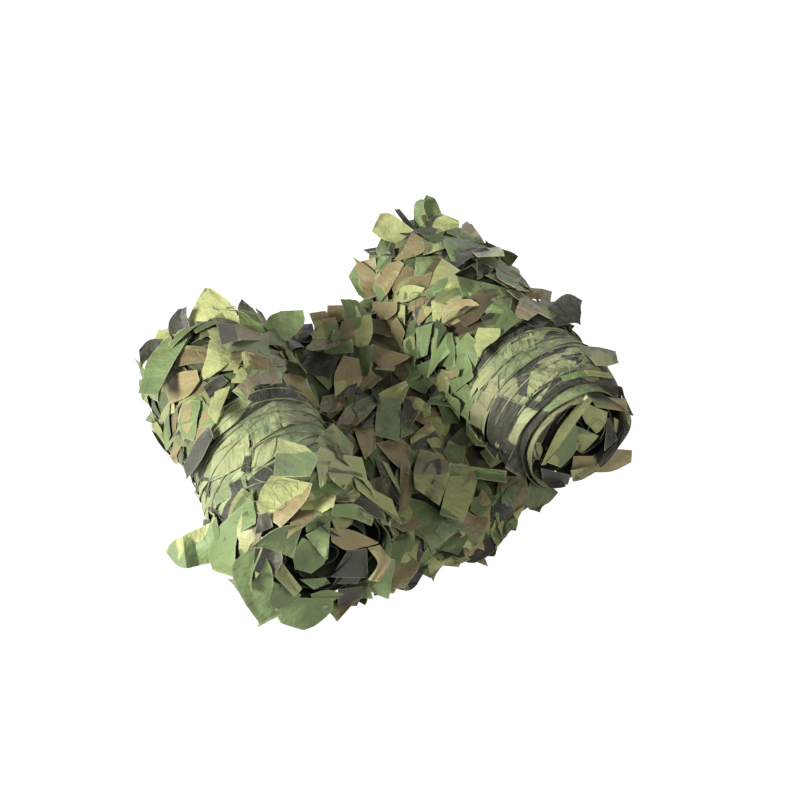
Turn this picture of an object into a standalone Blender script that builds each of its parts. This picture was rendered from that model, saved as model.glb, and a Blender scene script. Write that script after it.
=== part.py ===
"""A camouflage net, rolled up from both ends into two rolls, with the crumpled stretch between them.

The net is one length of cloth, cut all over into leaves and tied to a twine netting, then folded to the width of a
roll. So it is one solid here: two wound rolls, the stretch between them, and the leaves that stand out of both.
The runs of netting twine that lie taut over the bare bands of each roll are pieces of their own.

Metres, +Z up. The rolls run along Y with their nearer ends towards -Y, and the net stands on z = 0 with the origin
under the middle of its box.
"""

import math
import random
from dataclasses import dataclass

import bmesh
import bpy
from mathutils import Vector
from mathutils.bvhtree import BVHTree

# Driving dimensions
ROLL_LENGTH = 0.51
ROLL_RADIUS = 0.115
ROLL_CENTRE_HEIGHT = 0.110
ROLL_SPACING = 0.466
ROLL_STAGGER = 0.11
ROLL_YAW = math.radians(2.85)

# The wound form: how far the cloth lies from a plain drum, the ridges of its bands, and the turns in its ends
LUMP = 0.006
BAND_RIDGE = 0.006
BAND_SLANT = 0.016
END_CROWN = 0.012
END_TURN_PITCH = 0.036
END_TURN_DEPTH = 0.011
RIM_DROOP = 0.012
FLAT_SPOT_RISE = 0.006

# The stretch between the rolls: its height at front, middle and back, and how far it passes the rolls at each end
WEB_HEIGHTS = (0.050, 0.078, 0.118)
WEB_SIDE = 0.12  # how far under the rolls it reaches, from their axes, as a share of the spacing
WEB_OVERHANG_FRONT = 0.022
WEB_OVERHANG_BACK = 0.034
WEB_EDGE_ROUNDING = 0.16
WEB_EDGE_HEIGHT = 0.012
WEB_EDGE_WAVE = 0.012
WEB_LUMP = 0.011

# Leaves: flaps that are cut free on all sides but the root, and how thickly they are scattered
LEAF_LENGTH = (0.046, 0.070)
LEAF_WIDTH = (0.036, 0.050)
LEAF_THICKNESS = 0.0026
LEAF_SINK = 0.007
LEAF_LIFT = (0.010, 0.026)
FLOOR_CLEARANCE = 0.0009
LEAF_SPACING = 0.040
ROLL_LEAF_PLACES = 74
WEB_LEAF_PLACES = 26
WEB_EDGE_LEAVES = 4
END_LEAVES = 10
END_LEAF_LEAN = (0.7, 1.3)  # from straight out of the end towards the rim, in radians
BAND_MARGIN = 0.004

# Netting twine
TWINE_DIAMETER = 0.003
TWINE_GAP = 0.0007
TWINE_REACH = (10, 236)  # the degrees round a roll that a taut run covers, from the stretch between to the floor
TWINE_STEP = 7

# Mesh density
RING_POINTS = 24
END_RINGS = 8
PLAIN_STATION = 0.040
WEB_COLUMNS = 9
WEB_ROWS = 16
FLAT_ENOUGH = math.radians(3.0)

CLOTH_GREEN = (0.16, 0.22, 0.09)
TWINE_GREEN = (0.22, 0.25, 0.12)


@dataclass(frozen=True)
class Roll:
    """One of the two rolls. Inward is +1 where the other roll lies towards +X, and -1 where it lies towards -X."""

    name: str
    inward: int
    band: tuple  # where the bare band of taut cloth lies, as shares of the length from the front end
    strips: int  # how many strips lie side by side in the band
    phase: float

    @property
    def yaw(self):
        return self.inward * ROLL_YAW

    @property
    def centre(self):
        return Vector((-self.inward * ROLL_SPACING / 2, -self.inward * ROLL_STAGGER / 2, ROLL_CENTRE_HEIGHT))


LEFT = Roll("left", 1, (0.27, 0.62), 6, 0.4)
RIGHT = Roll("right", -1, (0.06, 0.42), 6, 2.1)
ROLLS = (LEFT, RIGHT)

# Each row is a leaf's outline: half widths at root, middle and tip as shares of its width, and the tip's drift sideways
LEAF_OUTLINES = (
    {"root": 0.30, "middle": 0.52, "tip": 0.16, "drift": 0.14},
    {"root": 0.42, "middle": 0.50, "tip": 0.50, "drift": 0.05},
    {"root": 0.36, "middle": 0.46, "tip": 0.34, "drift": -0.22},
    {"root": 0.44, "middle": 0.50, "tip": 0.30, "drift": 0.0},
)


def clear_scene():
    for obj in list(bpy.data.objects):
        bpy.data.objects.remove(obj)


def cloth_material(name, colour, roughness):
    material = bpy.data.materials.new(name)
    material.use_nodes = True
    shader = material.node_tree.nodes["Principled BSDF"]
    shader.inputs["Base Color"].default_value = (*colour, 1.0)
    shader.inputs["Roughness"].default_value = roughness
    shader.inputs["Metallic"].default_value = 0.0
    return material


def smooth(share):
    """0 to 1 with a soft start and end."""
    share = min(max(share, 0.0), 1.0)
    return share * share * (3.0 - 2.0 * share)


def band_share(roll, along):
    """1 in the bare band of a roll and 0 outside it, with soft borders."""
    low, high = roll.band
    border = 0.03
    return smooth((along - low + border) / border) * smooth((high + border - along) / border)


def lumps(roll, angle, along):
    """How far the wound cloth stands out of a plain drum or sinks into it, as a share of the largest lump."""
    turn = 2.0 * math.pi * along
    big = math.sin(2.0 * angle + 1.3 * turn + roll.phase) + math.sin(3.0 * angle - 2.1 * turn + 2.0 * roll.phase)
    small = math.sin(5.0 * angle + 4.0 * turn + 3.0 * roll.phase) + math.sin(4.0 * angle - 5.2 * turn)
    return 0.36 * big + 0.22 * small


def roll_radius(roll, angle, along):
    """The wound cloth's radius, with lumps outside the band, soft ridges in it and a rounded rim at both ends."""
    bare = band_share(roll, along)
    low, high = roll.band
    strip = (along - low) / (high - low) * roll.strips
    ridge = BAND_RIDGE * (abs(math.sin(math.pi * strip)) - 0.5)
    to_end = min(along, 1.0 - along) * ROLL_LENGTH
    rim = RIM_DROOP * (1.0 - smooth(to_end / 0.03))
    return ROLL_RADIUS + (1.0 - 0.6 * bare) * LUMP * lumps(roll, angle, along) + bare * ridge - rim


def roll_frame(roll):
    """Unit vectors of a roll: towards the other roll, and along its axis towards the back."""
    across = Vector((math.cos(roll.yaw), -math.sin(roll.yaw), 0.0)) * roll.inward
    back = Vector((math.sin(roll.yaw), math.cos(roll.yaw), 0.0))
    return across, back


def roll_point(roll, angle, along, height=0.0):
    """A point over a roll's surface. Angle 0 faces the other roll and a quarter turn is the top."""
    across, back = roll_frame(roll)
    reach = roll_radius(roll, angle, along) + height
    slant = BAND_SLANT * band_share(roll, along) * math.cos(angle + roll.phase)
    point = roll.centre + across * (reach * math.cos(angle)) + back * ((along - 0.5) * ROLL_LENGTH + slant)
    return point + Vector((0.0, 0.0, reach * math.sin(angle)))


def end_depth(roll, share, angle):
    """How far an end face stands out at a share of its radius: crowned, with the turns of the winding as a groove."""
    turns = share * ROLL_RADIUS / END_TURN_PITCH - angle / (2.0 * math.pi)
    groove = 0.5 - 0.5 * math.cos(2.0 * math.pi * turns + roll.phase)
    fade = smooth((1.0 - share) / 0.15) * smooth(share / 0.15)
    return END_CROWN * (1.0 - share * share) - END_TURN_DEPTH * groove * fade


def end_point(roll, end, share, angle, height=0.0):
    """A point over an end face. End is 0 at the front and 1 at the back, and share runs from the axis to the rim."""
    _, back = roll_frame(roll)
    outward = back if end else -back
    rim = roll_point(roll, angle, float(end))
    axis = roll.centre + back * ((end - 0.5) * ROLL_LENGTH)
    return axis.lerp(rim, share) + outward * (end_depth(roll, share, angle) + height)


def stations(roll):
    """Shares of the length where a roll has a ring: close together in the band, so that each strip has its ridge."""
    low, high = roll.band
    in_band = [low + (high - low) * k / (2 * roll.strips) for k in range(2 * roll.strips + 1)]
    shares = list(in_band)
    for start, stop in ((0.0, low), (high, 1.0)):
        count = max(1, round((stop - start) * ROLL_LENGTH / PLAIN_STATION))
        shares += [start + (stop - start) * k / count for k in range(count + 1)]
    return sorted({round(share, 6) for share in shares})


def mesh_object(name, bm, material):
    bmesh.ops.recalc_face_normals(bm, faces=bm.faces)
    bmesh.ops.triangulate(bm, faces=bm.faces)
    mesh = bpy.data.meshes.new(name)
    bm.to_mesh(mesh)
    bm.free()
    mesh.materials.append(material)
    obj = bpy.data.objects.new(name, mesh)
    return obj


def on_floor(point):
    """A point of a roll, laid on the floor where it comes close to it or would sink into it."""
    height = point.z if point.z > FLAT_SPOT_RISE else 0.0
    return Vector((point.x, point.y, height))


def bridge(bm, first, second):
    """Quads between two closed rings of vertices."""
    count = len(first)
    for k in range(count):
        after = (k + 1) % count
        bm.faces.new((first[k], first[after], second[after], second[k]))


def roll_body(roll, material):
    """The wound cloth of one roll: rings along the axis, closed at both ends by grooved faces."""
    bm = bmesh.new()
    angles = [2.0 * math.pi * k / RING_POINTS for k in range(RING_POINTS)]
    rings = [
        [bm.verts.new(on_floor(roll_point(roll, angle, along))) for angle in angles] for along in stations(roll)
    ]
    for first, second in zip(rings, rings[1:], strict=False):
        bridge(bm, first, second)
    for end, rim in ((0, rings[0]), (1, rings[-1])):
        outer = rim
        for ring in range(END_RINGS - 1, 0, -1):
            share = ring / END_RINGS
            inner = [bm.verts.new(on_floor(end_point(roll, end, share, angle))) for angle in angles]
            bridge(bm, outer, inner)
            outer = inner
        tip = bm.verts.new(end_point(roll, end, 0.0, 0.0))
        for k in range(RING_POINTS):
            bm.faces.new((outer[k], outer[(k + 1) % RING_POINTS], tip))
    return mesh_object(f"wound_{roll.name}", bm, material)


def web_height(across, along):
    """The height of the stretch between the rolls: low in front, bunched up at the back, round at both open edges."""
    front, middle, back = WEB_HEIGHTS
    if along < 0.5:
        top = front + (middle - front) * smooth(along * 2.0)
    else:
        top = middle + (back - middle) * smooth(along * 2.0 - 1.0)
    wave = math.sin(11.0 * across + 9.0 * along) + math.sin(17.0 * across - 14.0 * along + 1.0)
    crease = math.sin(23.0 * along + 6.0 * across)
    to_edge = min(max(min(along, 1.0 - along) / WEB_EDGE_ROUNDING, 0.0), 1.0)
    rounding = math.sqrt(1.0 - (1.0 - to_edge) ** 2)
    full = top + WEB_LUMP * (0.4 * wave + 0.3 * crease)
    return WEB_EDGE_HEIGHT + (full - WEB_EDGE_HEIGHT) * rounding


def web_ground(across, along):
    """The floor point under a place on the stretch. Across runs from the left roll's axis to the right roll's."""
    sides = []
    wave = WEB_EDGE_WAVE * math.sin(21.0 * across + 2.0) * (2.0 * along - 1.0)
    clear_of_rolls = smooth((min(across, 1.0 - across) - WEB_SIDE) / 0.22)
    front_edge = -ROLL_LENGTH / 2 - WEB_OVERHANG_FRONT * clear_of_rolls
    back_edge = ROLL_LENGTH / 2 + WEB_OVERHANG_BACK * clear_of_rolls
    offset = front_edge + along * (back_edge - front_edge) + wave * clear_of_rolls
    for roll in ROLLS:
        _, back = roll_frame(roll)
        place = roll.centre + back * offset
        sides.append(Vector((place.x, place.y, 0.0)))
    return sides[0].lerp(sides[1], across)


def web_point(across, along, height=0.0):
    ground = web_ground(across, along)
    return Vector((ground.x, ground.y, web_height(across, along) + height))


def web_body(material):
    """The crumpled stretch between the rolls, reaching in under both so that the net stays in one piece."""
    bm = bmesh.new()
    shares = [WEB_SIDE + (1.0 - 2.0 * WEB_SIDE) * column / WEB_COLUMNS for column in range(WEB_COLUMNS + 1)]
    alongs = [row / WEB_ROWS for row in range(WEB_ROWS + 1)]
    top = [[bm.verts.new(web_point(share, along)) for share in shares] for along in alongs]
    bottom = [[bm.verts.new(web_ground(share, along)) for share in shares] for along in (0.0, 1.0)]
    for first, second in zip(top, top[1:], strict=False):
        for k in range(WEB_COLUMNS):
            bm.faces.new((first[k], first[k + 1], second[k + 1], second[k]))
    for k in range(WEB_COLUMNS):
        bm.faces.new((bottom[0][k], bottom[1][k], bottom[1][k + 1], bottom[0][k + 1]))
        bm.faces.new((top[0][k], bottom[0][k], bottom[0][k + 1], top[0][k + 1]))
        bm.faces.new((top[-1][k], top[-1][k + 1], bottom[1][k + 1], bottom[1][k]))
    for k in (0, WEB_COLUMNS):
        bm.faces.new((*(row[k] for row in top), bottom[1][k], bottom[0][k]))
    return mesh_object("net", bm, material)


@dataclass(frozen=True)
class Leaf:
    """A cut flap of cloth: its size, outline, heading on the surface, and how far its tip lifts and its sides curl."""

    length: float
    width: float
    outline: dict
    heading: float
    lift: float
    curl: float

    def rows(self):
        """Rows of (sideways, forwards, height) from root to tip, each with a left and a right point."""
        halves = (self.outline["root"], self.outline["middle"], self.outline["tip"])
        heights = (-LEAF_SINK, 0.30 * self.lift, self.lift)
        made = []
        for step, (half, height) in enumerate(zip(halves, heights, strict=True)):
            share = step / 2
            drift = self.outline["drift"] * self.width * share
            forwards = (share - 0.35) * self.length
            tilt = self.curl * share
            left = (drift - half * self.width, forwards, height - tilt)
            right = (drift + half * self.width, forwards + 0.2 * self.curl, height + tilt)
            made.append((left, right))
        return made


def random_leaf(draw, heading, lift=LEAF_LIFT, size=1.0):
    return Leaf(
        length=size * draw.uniform(*LEAF_LENGTH),
        width=size * draw.uniform(*LEAF_WIDTH),
        outline=draw.choice(LEAF_OUTLINES),
        heading=heading,
        lift=draw.uniform(*lift),
        curl=draw.uniform(-0.006, 0.006),
    )


def off_floor(pair):
    """A leaf's upper and lower point, both raised as far as the lower of them needs to clear the floor."""
    lift = max(0.0, FLOOR_CLEARANCE - min(point.z for point in pair))
    return [point + Vector((0.0, 0.0, lift)) for point in pair]


def leaf_body(bm, leaf, place):
    """Adds one leaf as a closed bent plate. Place turns (sideways, forwards, height) into a point."""
    upper, lower = [], []
    for row in leaf.rows():
        pairs = [
            off_floor([place(side, forwards, height), place(side, forwards, height - LEAF_THICKNESS)])
            for side, forwards, height in row
        ]
        upper.append([bm.verts.new(over) for over, _ in pairs])
        lower.append([bm.verts.new(under) for _, under in pairs])
    for k in range(len(upper) - 1):
        bm.faces.new((upper[k][0], upper[k][1], upper[k + 1][1], upper[k + 1][0]))
        bm.faces.new((lower[k][0], lower[k + 1][0], lower[k + 1][1], lower[k][1]))
        bm.faces.new((upper[k][0], upper[k + 1][0], lower[k + 1][0], lower[k][0]))
        bm.faces.new((upper[k][1], lower[k][1], lower[k + 1][1], upper[k + 1][1]))
    bm.faces.new((upper[0][1], upper[0][0], lower[0][0], lower[0][1]))
    bm.faces.new((upper[-1][0], upper[-1][1], lower[-1][1], lower[-1][0]))


def turned(sideways, forwards, heading):
    """Leaf coordinates turned by its heading, as distances along the surface's two directions."""
    cos, sin = math.cos(heading), math.sin(heading)
    return forwards * cos - sideways * sin, forwards * sin + sideways * cos


def on_roll(roll, angle, along, heading):
    """The placing of a leaf on a roll. Heading 0 runs round the roll and a quarter turn runs along it."""

    def place(sideways, forwards, height):
        around, lengthways = turned(sideways, forwards, heading)
        share = along + lengthways / ROLL_LENGTH
        return roll_point(roll, angle + around / ROLL_RADIUS, share, height)

    return place


def on_web(across, along, heading):
    """The placing of a leaf on the stretch between the rolls. Heading 0 runs towards +X."""

    def place(sideways, forwards, height):
        dx, dy = turned(sideways, forwards, heading)
        return web_point(across + dx / ROLL_SPACING, along + dy / ROLL_LENGTH, height)

    return place


def on_end(roll, end, share, angle, lean):
    """The placing of a leaf that stands out of an end face, leaning outwards by an angle, and sagging."""
    across, back = roll_frame(roll)
    outward = back if end else -back
    radial = across * math.cos(angle) + Vector((0.0, 0.0, math.sin(angle)))
    sideways_axis = outward.cross(radial)
    forwards_axis = outward * math.cos(lean) + radial * math.sin(lean)
    height_axis = forwards_axis.cross(sideways_axis)
    root = end_point(roll, end, share, angle)

    def place(sideways, forwards, height):
        reach = forwards + 0.15 * LEAF_LENGTH[0]
        sag = Vector((0.0, 0.0, -2.2 * max(reach, 0.0) ** 2))
        return root + sideways_axis * sideways + forwards_axis * reach + height_axis * height + sag

    return place


def scattered(draw, wanted, spacing, region, tries=6000):
    """Up to wanted places that keep a spacing, as (u, v) in metres inside a region given as (u low, high, v low, high)."""
    places = []
    low_u, high_u, low_v, high_v = region
    for _ in range(tries):
        if len(places) == wanted:
            break
        u, v = draw.uniform(low_u, high_u), draw.uniform(low_v, high_v)
        if all((u - a) ** 2 + (v - b) ** 2 > spacing**2 for a, b in places):
            places.append((u, v))
    return places


def over_band(roll, leaf, lengthways):
    """Whether a leaf at a distance along the roll would cover its bare band."""
    low, high = (share * ROLL_LENGTH for share in roll.band)
    tip = lengthways + 0.65 * leaf.length * math.sin(leaf.heading)
    return any(low - BAND_MARGIN < place < high + BAND_MARGIN for place in (lengthways, tip))


def roll_leaves(roll, bm, draw):
    """Leaves over the parts of a roll that show, but for its bare band, and at the rims of both ends."""
    shown = (math.radians(-8.0), math.radians(222.0))
    region = (shown[0] * ROLL_RADIUS, shown[1] * ROLL_RADIUS, 0.015, ROLL_LENGTH - 0.015)
    for around, lengthways in scattered(draw, ROLL_LEAF_PLACES, LEAF_SPACING, region):
        leaf = random_leaf(draw, draw.uniform(-math.pi, math.pi))
        if not over_band(roll, leaf, lengthways):
            place = on_roll(roll, around / ROLL_RADIUS, lengthways / ROLL_LENGTH, leaf.heading)
            leaf_body(bm, leaf, place)
    for end in (0, 1):
        for k in range(END_LEAVES):
            angle = math.radians(-50.0 + 285.0 * (k + draw.uniform(0.2, 0.8)) / END_LEAVES)
            share = 0.88 if k % 2 else 0.55
            leaf = random_leaf(draw, 0.0, size=0.95)
            leaf_body(bm, leaf, on_end(roll, end, share, angle, draw.uniform(*END_LEAF_LEAN)))


def web_leaves(bm, draw):
    """Leaves over the stretch between the rolls and at its two open edges."""
    region = (0.34 * ROLL_SPACING, 0.66 * ROLL_SPACING, 0.05 * ROLL_LENGTH, 0.95 * ROLL_LENGTH)
    for across, lengthways in scattered(draw, WEB_LEAF_PLACES, LEAF_SPACING, region):
        leaf = random_leaf(draw, draw.uniform(-math.pi, math.pi), lift=(0.012, 0.034))
        leaf_body(bm, leaf, on_web(across / ROLL_SPACING, lengthways / ROLL_LENGTH, leaf.heading))
    for along, outward in ((0.05, -math.pi / 2), (0.95, math.pi / 2)):
        for k in range(WEB_EDGE_LEAVES):
            across = 0.32 + 0.36 * (k + draw.uniform(0.2, 0.8)) / WEB_EDGE_LEAVES
            leaf = random_leaf(draw, outward + draw.uniform(-0.5, 0.5), lift=(0.004, 0.012), size=0.85)
            leaf_body(bm, leaf, on_web(across, along, leaf.heading))


def shells(bm):
    """The mesh's separate closed surfaces, each as a list of its faces."""
    unseen = set(bm.faces)
    found = []
    while unseen:
        shell = [unseen.pop()]
        for face in shell:
            for edge in face.edges:
                for other in edge.link_faces:
                    if other in unseen:
                        unseen.remove(other)
                        shell.append(other)
        found.append(shell)
    return found


def fuse(base, extras):
    """Joins the extras to the base as one solid, and fills the pockets that the leaves seal off against the winding."""
    for extra in extras:
        bpy.context.scene.collection.objects.link(extra)
        union = base.modifiers.new(f"join_{extra.name}", "BOOLEAN")
        union.operation = "UNION"
        union.solver = "EXACT"
        union.use_self = extra.name.startswith("leaves")
        union.object = extra
    evaluated = base.evaluated_get(bpy.context.evaluated_depsgraph_get())
    bm = bmesh.new()
    bm.from_mesh(evaluated.to_mesh())
    found = sorted(shells(bm), key=len)
    for pocket in found[:-1]:
        bmesh.ops.delete(bm, geom=pocket, context="FACES")
    bmesh.ops.dissolve_limit(bm, angle_limit=FLAT_ENOUGH, verts=bm.verts, edges=bm.edges)
    bmesh.ops.triangulate(bm, faces=bm.faces)
    base.modifiers.clear()
    bm.to_mesh(base.data)
    bm.free()
    for extra in extras:
        bpy.data.objects.remove(extra)
    print(len(found), "shells,", len(base.data.polygons), "triangles")


def build_net():
    cloth = cloth_material("garnish_cloth", CLOTH_GREEN, 0.62)
    net = web_body(cloth)
    bpy.context.scene.collection.objects.link(net)
    extras = [roll_body(roll, cloth) for roll in ROLLS]
    draw = random.Random(11)
    bm = bmesh.new()
    for roll in ROLLS:
        roll_leaves(roll, bm, draw)
    web_leaves(bm, draw)
    extras.append(mesh_object("leaves", bm, cloth))
    fuse(net, extras)
    return net


def cloth_reach(tree, roll, angle, along, shift):
    """The distance from a roll's axis to the outermost cloth at an angle, a little to one side of a twine's path."""
    across, back = roll_frame(roll)
    radial = across * math.cos(angle) + Vector((0.0, 0.0, math.sin(angle)))
    slant = BAND_SLANT * band_share(roll, along) * math.cos(angle + roll.phase)
    axis = roll.centre + back * ((along - 0.5) * ROLL_LENGTH + slant + shift)
    far = 2.0 * ROLL_RADIUS
    hit = tree.ray_cast(axis + radial * far, -radial)
    return far - hit[3]


def twine_path(tree, roll, along):
    """The middle line of a twine pulled taut round a roll, so that it lies on what stands out and spans the rest."""
    half = TWINE_DIAMETER / 2
    flat = []
    for degrees in range(TWINE_REACH[0], TWINE_REACH[1] + 1, 2):
        angle = math.radians(degrees)
        reach = max(cloth_reach(tree, roll, angle, along, shift) for shift in (-half, 0.0, half))
        flat.append(Vector((reach * math.cos(angle), reach * math.sin(angle))))
    across, back = roll_frame(roll)
    path = []
    for degrees in range(TWINE_REACH[0], TWINE_REACH[1] + 1, TWINE_STEP):
        angle = math.radians(degrees)
        normal = Vector((math.cos(angle), math.sin(angle)))
        touching = max(flat, key=normal.dot)
        off = touching + normal * (half + TWINE_GAP)
        slant = BAND_SLANT * band_share(roll, along) * math.cos(math.atan2(off.y, off.x) + roll.phase)
        axis = roll.centre + back * ((along - 0.5) * ROLL_LENGTH + slant)
        path.append(axis + across * off.x + Vector((0.0, 0.0, off.y)))
    return path


def twine_run(name, path, material):
    """One run of netting twine, as a thin tube along its path."""
    curve = bpy.data.curves.new(name, "CURVE")
    curve.dimensions = "3D"
    curve.bevel_depth = TWINE_DIAMETER / 2
    curve.bevel_resolution = 0
    curve.use_fill_caps = True
    spline = curve.splines.new("POLY")
    spline.points.add(len(path) - 1)
    for point, place in zip(spline.points, path, strict=True):
        point.co = (*place, 1.0)
    curve.materials.append(material)
    run = bpy.data.objects.new(name, curve)
    bpy.context.scene.collection.objects.link(run)
    return run


def build_twine(net):
    """The runs of netting twine in the grooves between the strips of each bare band."""
    material = cloth_material("netting_twine", TWINE_GREEN, 0.7)
    bm = bmesh.new()
    bm.from_mesh(net.data)
    tree = BVHTree.FromBMesh(bm)
    bm.free()
    runs = []
    for roll in ROLLS:
        low, high = roll.band
        for number in range(1, roll.strips):
            along = low + (high - low) * number / roll.strips
            runs.append(twine_run(f"twine_{roll.name}_{number}", twine_path(tree, roll, along), material))
    return runs


def stand_at_origin(objects):
    """Moves everything so that the origin lies under the middle of its box."""
    bpy.context.view_layer.update()
    corners = [obj.matrix_world @ Vector(corner) for obj in objects for corner in obj.bound_box]
    middle_x = (min(corner.x for corner in corners) + max(corner.x for corner in corners)) / 2
    middle_y = (min(corner.y for corner in corners) + max(corner.y for corner in corners)) / 2
    for obj in objects:
        obj.location = (-middle_x, -middle_y, 0.0)
    print(f"moved by {-middle_x:.5f}, {-middle_y:.5f}")


clear_scene()
garnished_net = build_net()
stand_at_origin([garnished_net, *build_twine(garnished_net)])
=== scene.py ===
# %% [markdown]
# # A camouflage net, rolled up from both ends
#
# A camouflage net is a twine netting with a printed cloth tied to it. The cloth is cut all over with short
# curved slits, so that it opens into leaves. Put away, the net is folded to a narrow band and rolled up from
# both ends.
#
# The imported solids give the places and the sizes. This script adds what they leave out: thin cloth, loose
# leaves, the print, and the netting's strings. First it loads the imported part, which stays as it is.

import math
import random
from dataclasses import dataclass, replace

import bpy
import numpy
from mathutils import Matrix, Vector
from mathutils.bvhtree import BVHTree


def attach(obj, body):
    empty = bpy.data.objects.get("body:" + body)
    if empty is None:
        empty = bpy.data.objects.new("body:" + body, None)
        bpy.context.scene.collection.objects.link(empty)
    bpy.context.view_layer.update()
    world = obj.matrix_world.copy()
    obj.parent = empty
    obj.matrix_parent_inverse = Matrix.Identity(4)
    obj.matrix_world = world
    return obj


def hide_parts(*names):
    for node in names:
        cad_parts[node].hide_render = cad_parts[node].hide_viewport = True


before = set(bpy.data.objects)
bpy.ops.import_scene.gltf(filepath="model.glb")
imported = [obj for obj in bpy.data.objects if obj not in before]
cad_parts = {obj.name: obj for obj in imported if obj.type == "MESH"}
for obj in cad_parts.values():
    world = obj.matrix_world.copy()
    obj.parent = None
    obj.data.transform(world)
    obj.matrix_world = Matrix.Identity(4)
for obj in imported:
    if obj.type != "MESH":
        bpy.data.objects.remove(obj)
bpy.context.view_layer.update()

# %% [markdown]
# ## Where the cloth lies
#
# Both rolls and the stretch between them follow the same few sizes as the solids, so each place on them can
# be named by an angle round a roll and a share of its length. Everything later is laid on these surfaces.
# Working from such a formula keeps the leaves on the cloth from every side, which pushing them about by eye
# would not.

# %% The two rolls
ROLL_LENGTH = 0.51
ROLL_RADIUS = 0.115
ROLL_SPACING = 0.466
ROLL_STAGGER = 0.11
ROLL_CENTRE_HEIGHT = 0.110
ROLL_YAW = math.radians(2.85)
# From midway between the rolls to the middle of the part's box
LAYOUT_SHIFT = Vector((0.00609, 0.00105, 0.0))
LUMP = 0.006
BAND_RIDGE = 0.006
BAND_SLANT = 0.016
BAND_BORDER = 0.03
RIM_DROOP = 0.012
RIM_WIDTH = 0.03
# Where the taut strips lie, as shares of a roll's length
BARE_ZONES = {"left": (0.15, 0.55), "right": (-0.10, 0.34)}
# How askew they are wrapped: half of their reach along the roll, and the angle where they lie foremost
TILTS = {"left": (0.070, math.radians(120.0)), "right": (0.008, math.radians(90.0))}
ZONE_BORDER = 0.03


@dataclass(frozen=True)
class Roll:
    """One roll. Inward is +1 where the other roll lies towards +X. Band is where its cloth lies taut."""

    name: str
    inward: int
    band: tuple
    strips: int
    phase: float

    @property
    def centre(self):
        place = Vector((-self.inward * ROLL_SPACING / 2, -self.inward * ROLL_STAGGER / 2, ROLL_CENTRE_HEIGHT))
        return place + LAYOUT_SHIFT

    @property
    def across(self):
        yaw = self.inward * ROLL_YAW
        return Vector((math.cos(yaw), -math.sin(yaw), 0.0)) * self.inward

    @property
    def back(self):
        yaw = self.inward * ROLL_YAW
        return Vector((math.sin(yaw), math.cos(yaw), 0.0))

    def radial(self, angle):
        return self.across * math.cos(angle) + Vector((0.0, 0.0, math.sin(angle)))


LEFT = Roll("left", 1, (0.27, 0.62), 6, 0.4)
RIGHT = Roll("right", -1, (0.06, 0.42), 6, 2.1)
ROLLS = (LEFT, RIGHT)


def smooth(share):
    """0 to 1 with a soft start and end."""
    share = min(max(share, 0.0), 1.0)
    return share * share * (3.0 - 2.0 * share)


def band_share(roll, along):
    low, high = roll.band
    after_low = smooth((along - low + BAND_BORDER) / BAND_BORDER)
    return after_low * smooth((high + BAND_BORDER - along) / BAND_BORDER)


def tilt(roll, angle):
    """How far back a taut strip lies at an angle. A strip lies in a tilted plane, foremost at one angle."""
    reach, foremost = TILTS[roll.name]
    return reach * (1.0 - math.cos(angle - foremost))


def bare_share(roll, angle, along):
    """1 where the taut strips lie on a roll and 0 where the leaves do."""
    low, high = BARE_ZONES[roll.name]
    place = along - tilt(roll, angle) / ROLL_LENGTH
    return smooth((place - low) / ZONE_BORDER) * smooth((high - place) / ZONE_BORDER)


def roll_radius(roll, angle, along, ridged=True):
    turn = math.tau * along
    big = math.sin(2.0 * angle + 1.3 * turn + roll.phase)
    big += math.sin(3.0 * angle - 2.1 * turn + 2.0 * roll.phase)
    small = math.sin(5.0 * angle + 4.0 * turn + 3.0 * roll.phase)
    small += math.sin(4.0 * angle - 5.2 * turn)
    bare = band_share(roll, along)
    low, high = roll.band
    strip = (along - low) / (high - low) * roll.strips
    ridge = BAND_RIDGE * (abs(math.sin(math.pi * strip)) - 0.5) if ridged else 0.0
    to_end = min(along, 1.0 - along) * ROLL_LENGTH
    rim = RIM_DROOP * (1.0 - smooth(to_end / RIM_WIDTH))
    lumps = (1.0 - 0.6 * bare) * LUMP * (0.36 * big + 0.22 * small)
    return ROLL_RADIUS + lumps + bare * ridge - rim


def roll_point(roll, angle, along, height=0.0, ridged=True):
    """A point over a roll's cloth. Angle 0 faces the other roll and a quarter turn is the top."""
    reach = roll_radius(roll, angle, along, ridged) + height
    slant = BAND_SLANT * band_share(roll, along) * math.cos(angle + roll.phase)
    return roll.centre + roll.radial(angle) * reach + roll.back * ((along - 0.5) * ROLL_LENGTH + slant)


# %% The stretch between the rolls
WEB_HEIGHTS = (0.050, 0.078, 0.118)  # at front, middle and back
WEB_SIDE = 0.12
WEB_SPREAD = 0.22
WEB_OVERHANG_FRONT = 0.022
WEB_OVERHANG_BACK = 0.034
WEB_EDGE_ROUNDING = 0.16
WEB_EDGE_HEIGHT = 0.012
WEB_EDGE_WAVE = 0.012
WEB_LUMP = 0.011


def web_height(across, along):
    front, middle, back = WEB_HEIGHTS
    if along < 0.5:
        top = front + (middle - front) * smooth(along * 2.0)
    else:
        top = middle + (back - middle) * smooth(along * 2.0 - 1.0)
    wave = math.sin(11.0 * across + 9.0 * along) + math.sin(17.0 * across - 14.0 * along + 1.0)
    crease = math.sin(23.0 * along + 6.0 * across)
    to_edge = min(max(min(along, 1.0 - along) / WEB_EDGE_ROUNDING, 0.0), 1.0)
    rounding = math.sqrt(1.0 - (1.0 - to_edge) ** 2)
    full = top + WEB_LUMP * (0.4 * wave + 0.3 * crease)
    return WEB_EDGE_HEIGHT + (full - WEB_EDGE_HEIGHT) * rounding


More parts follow.
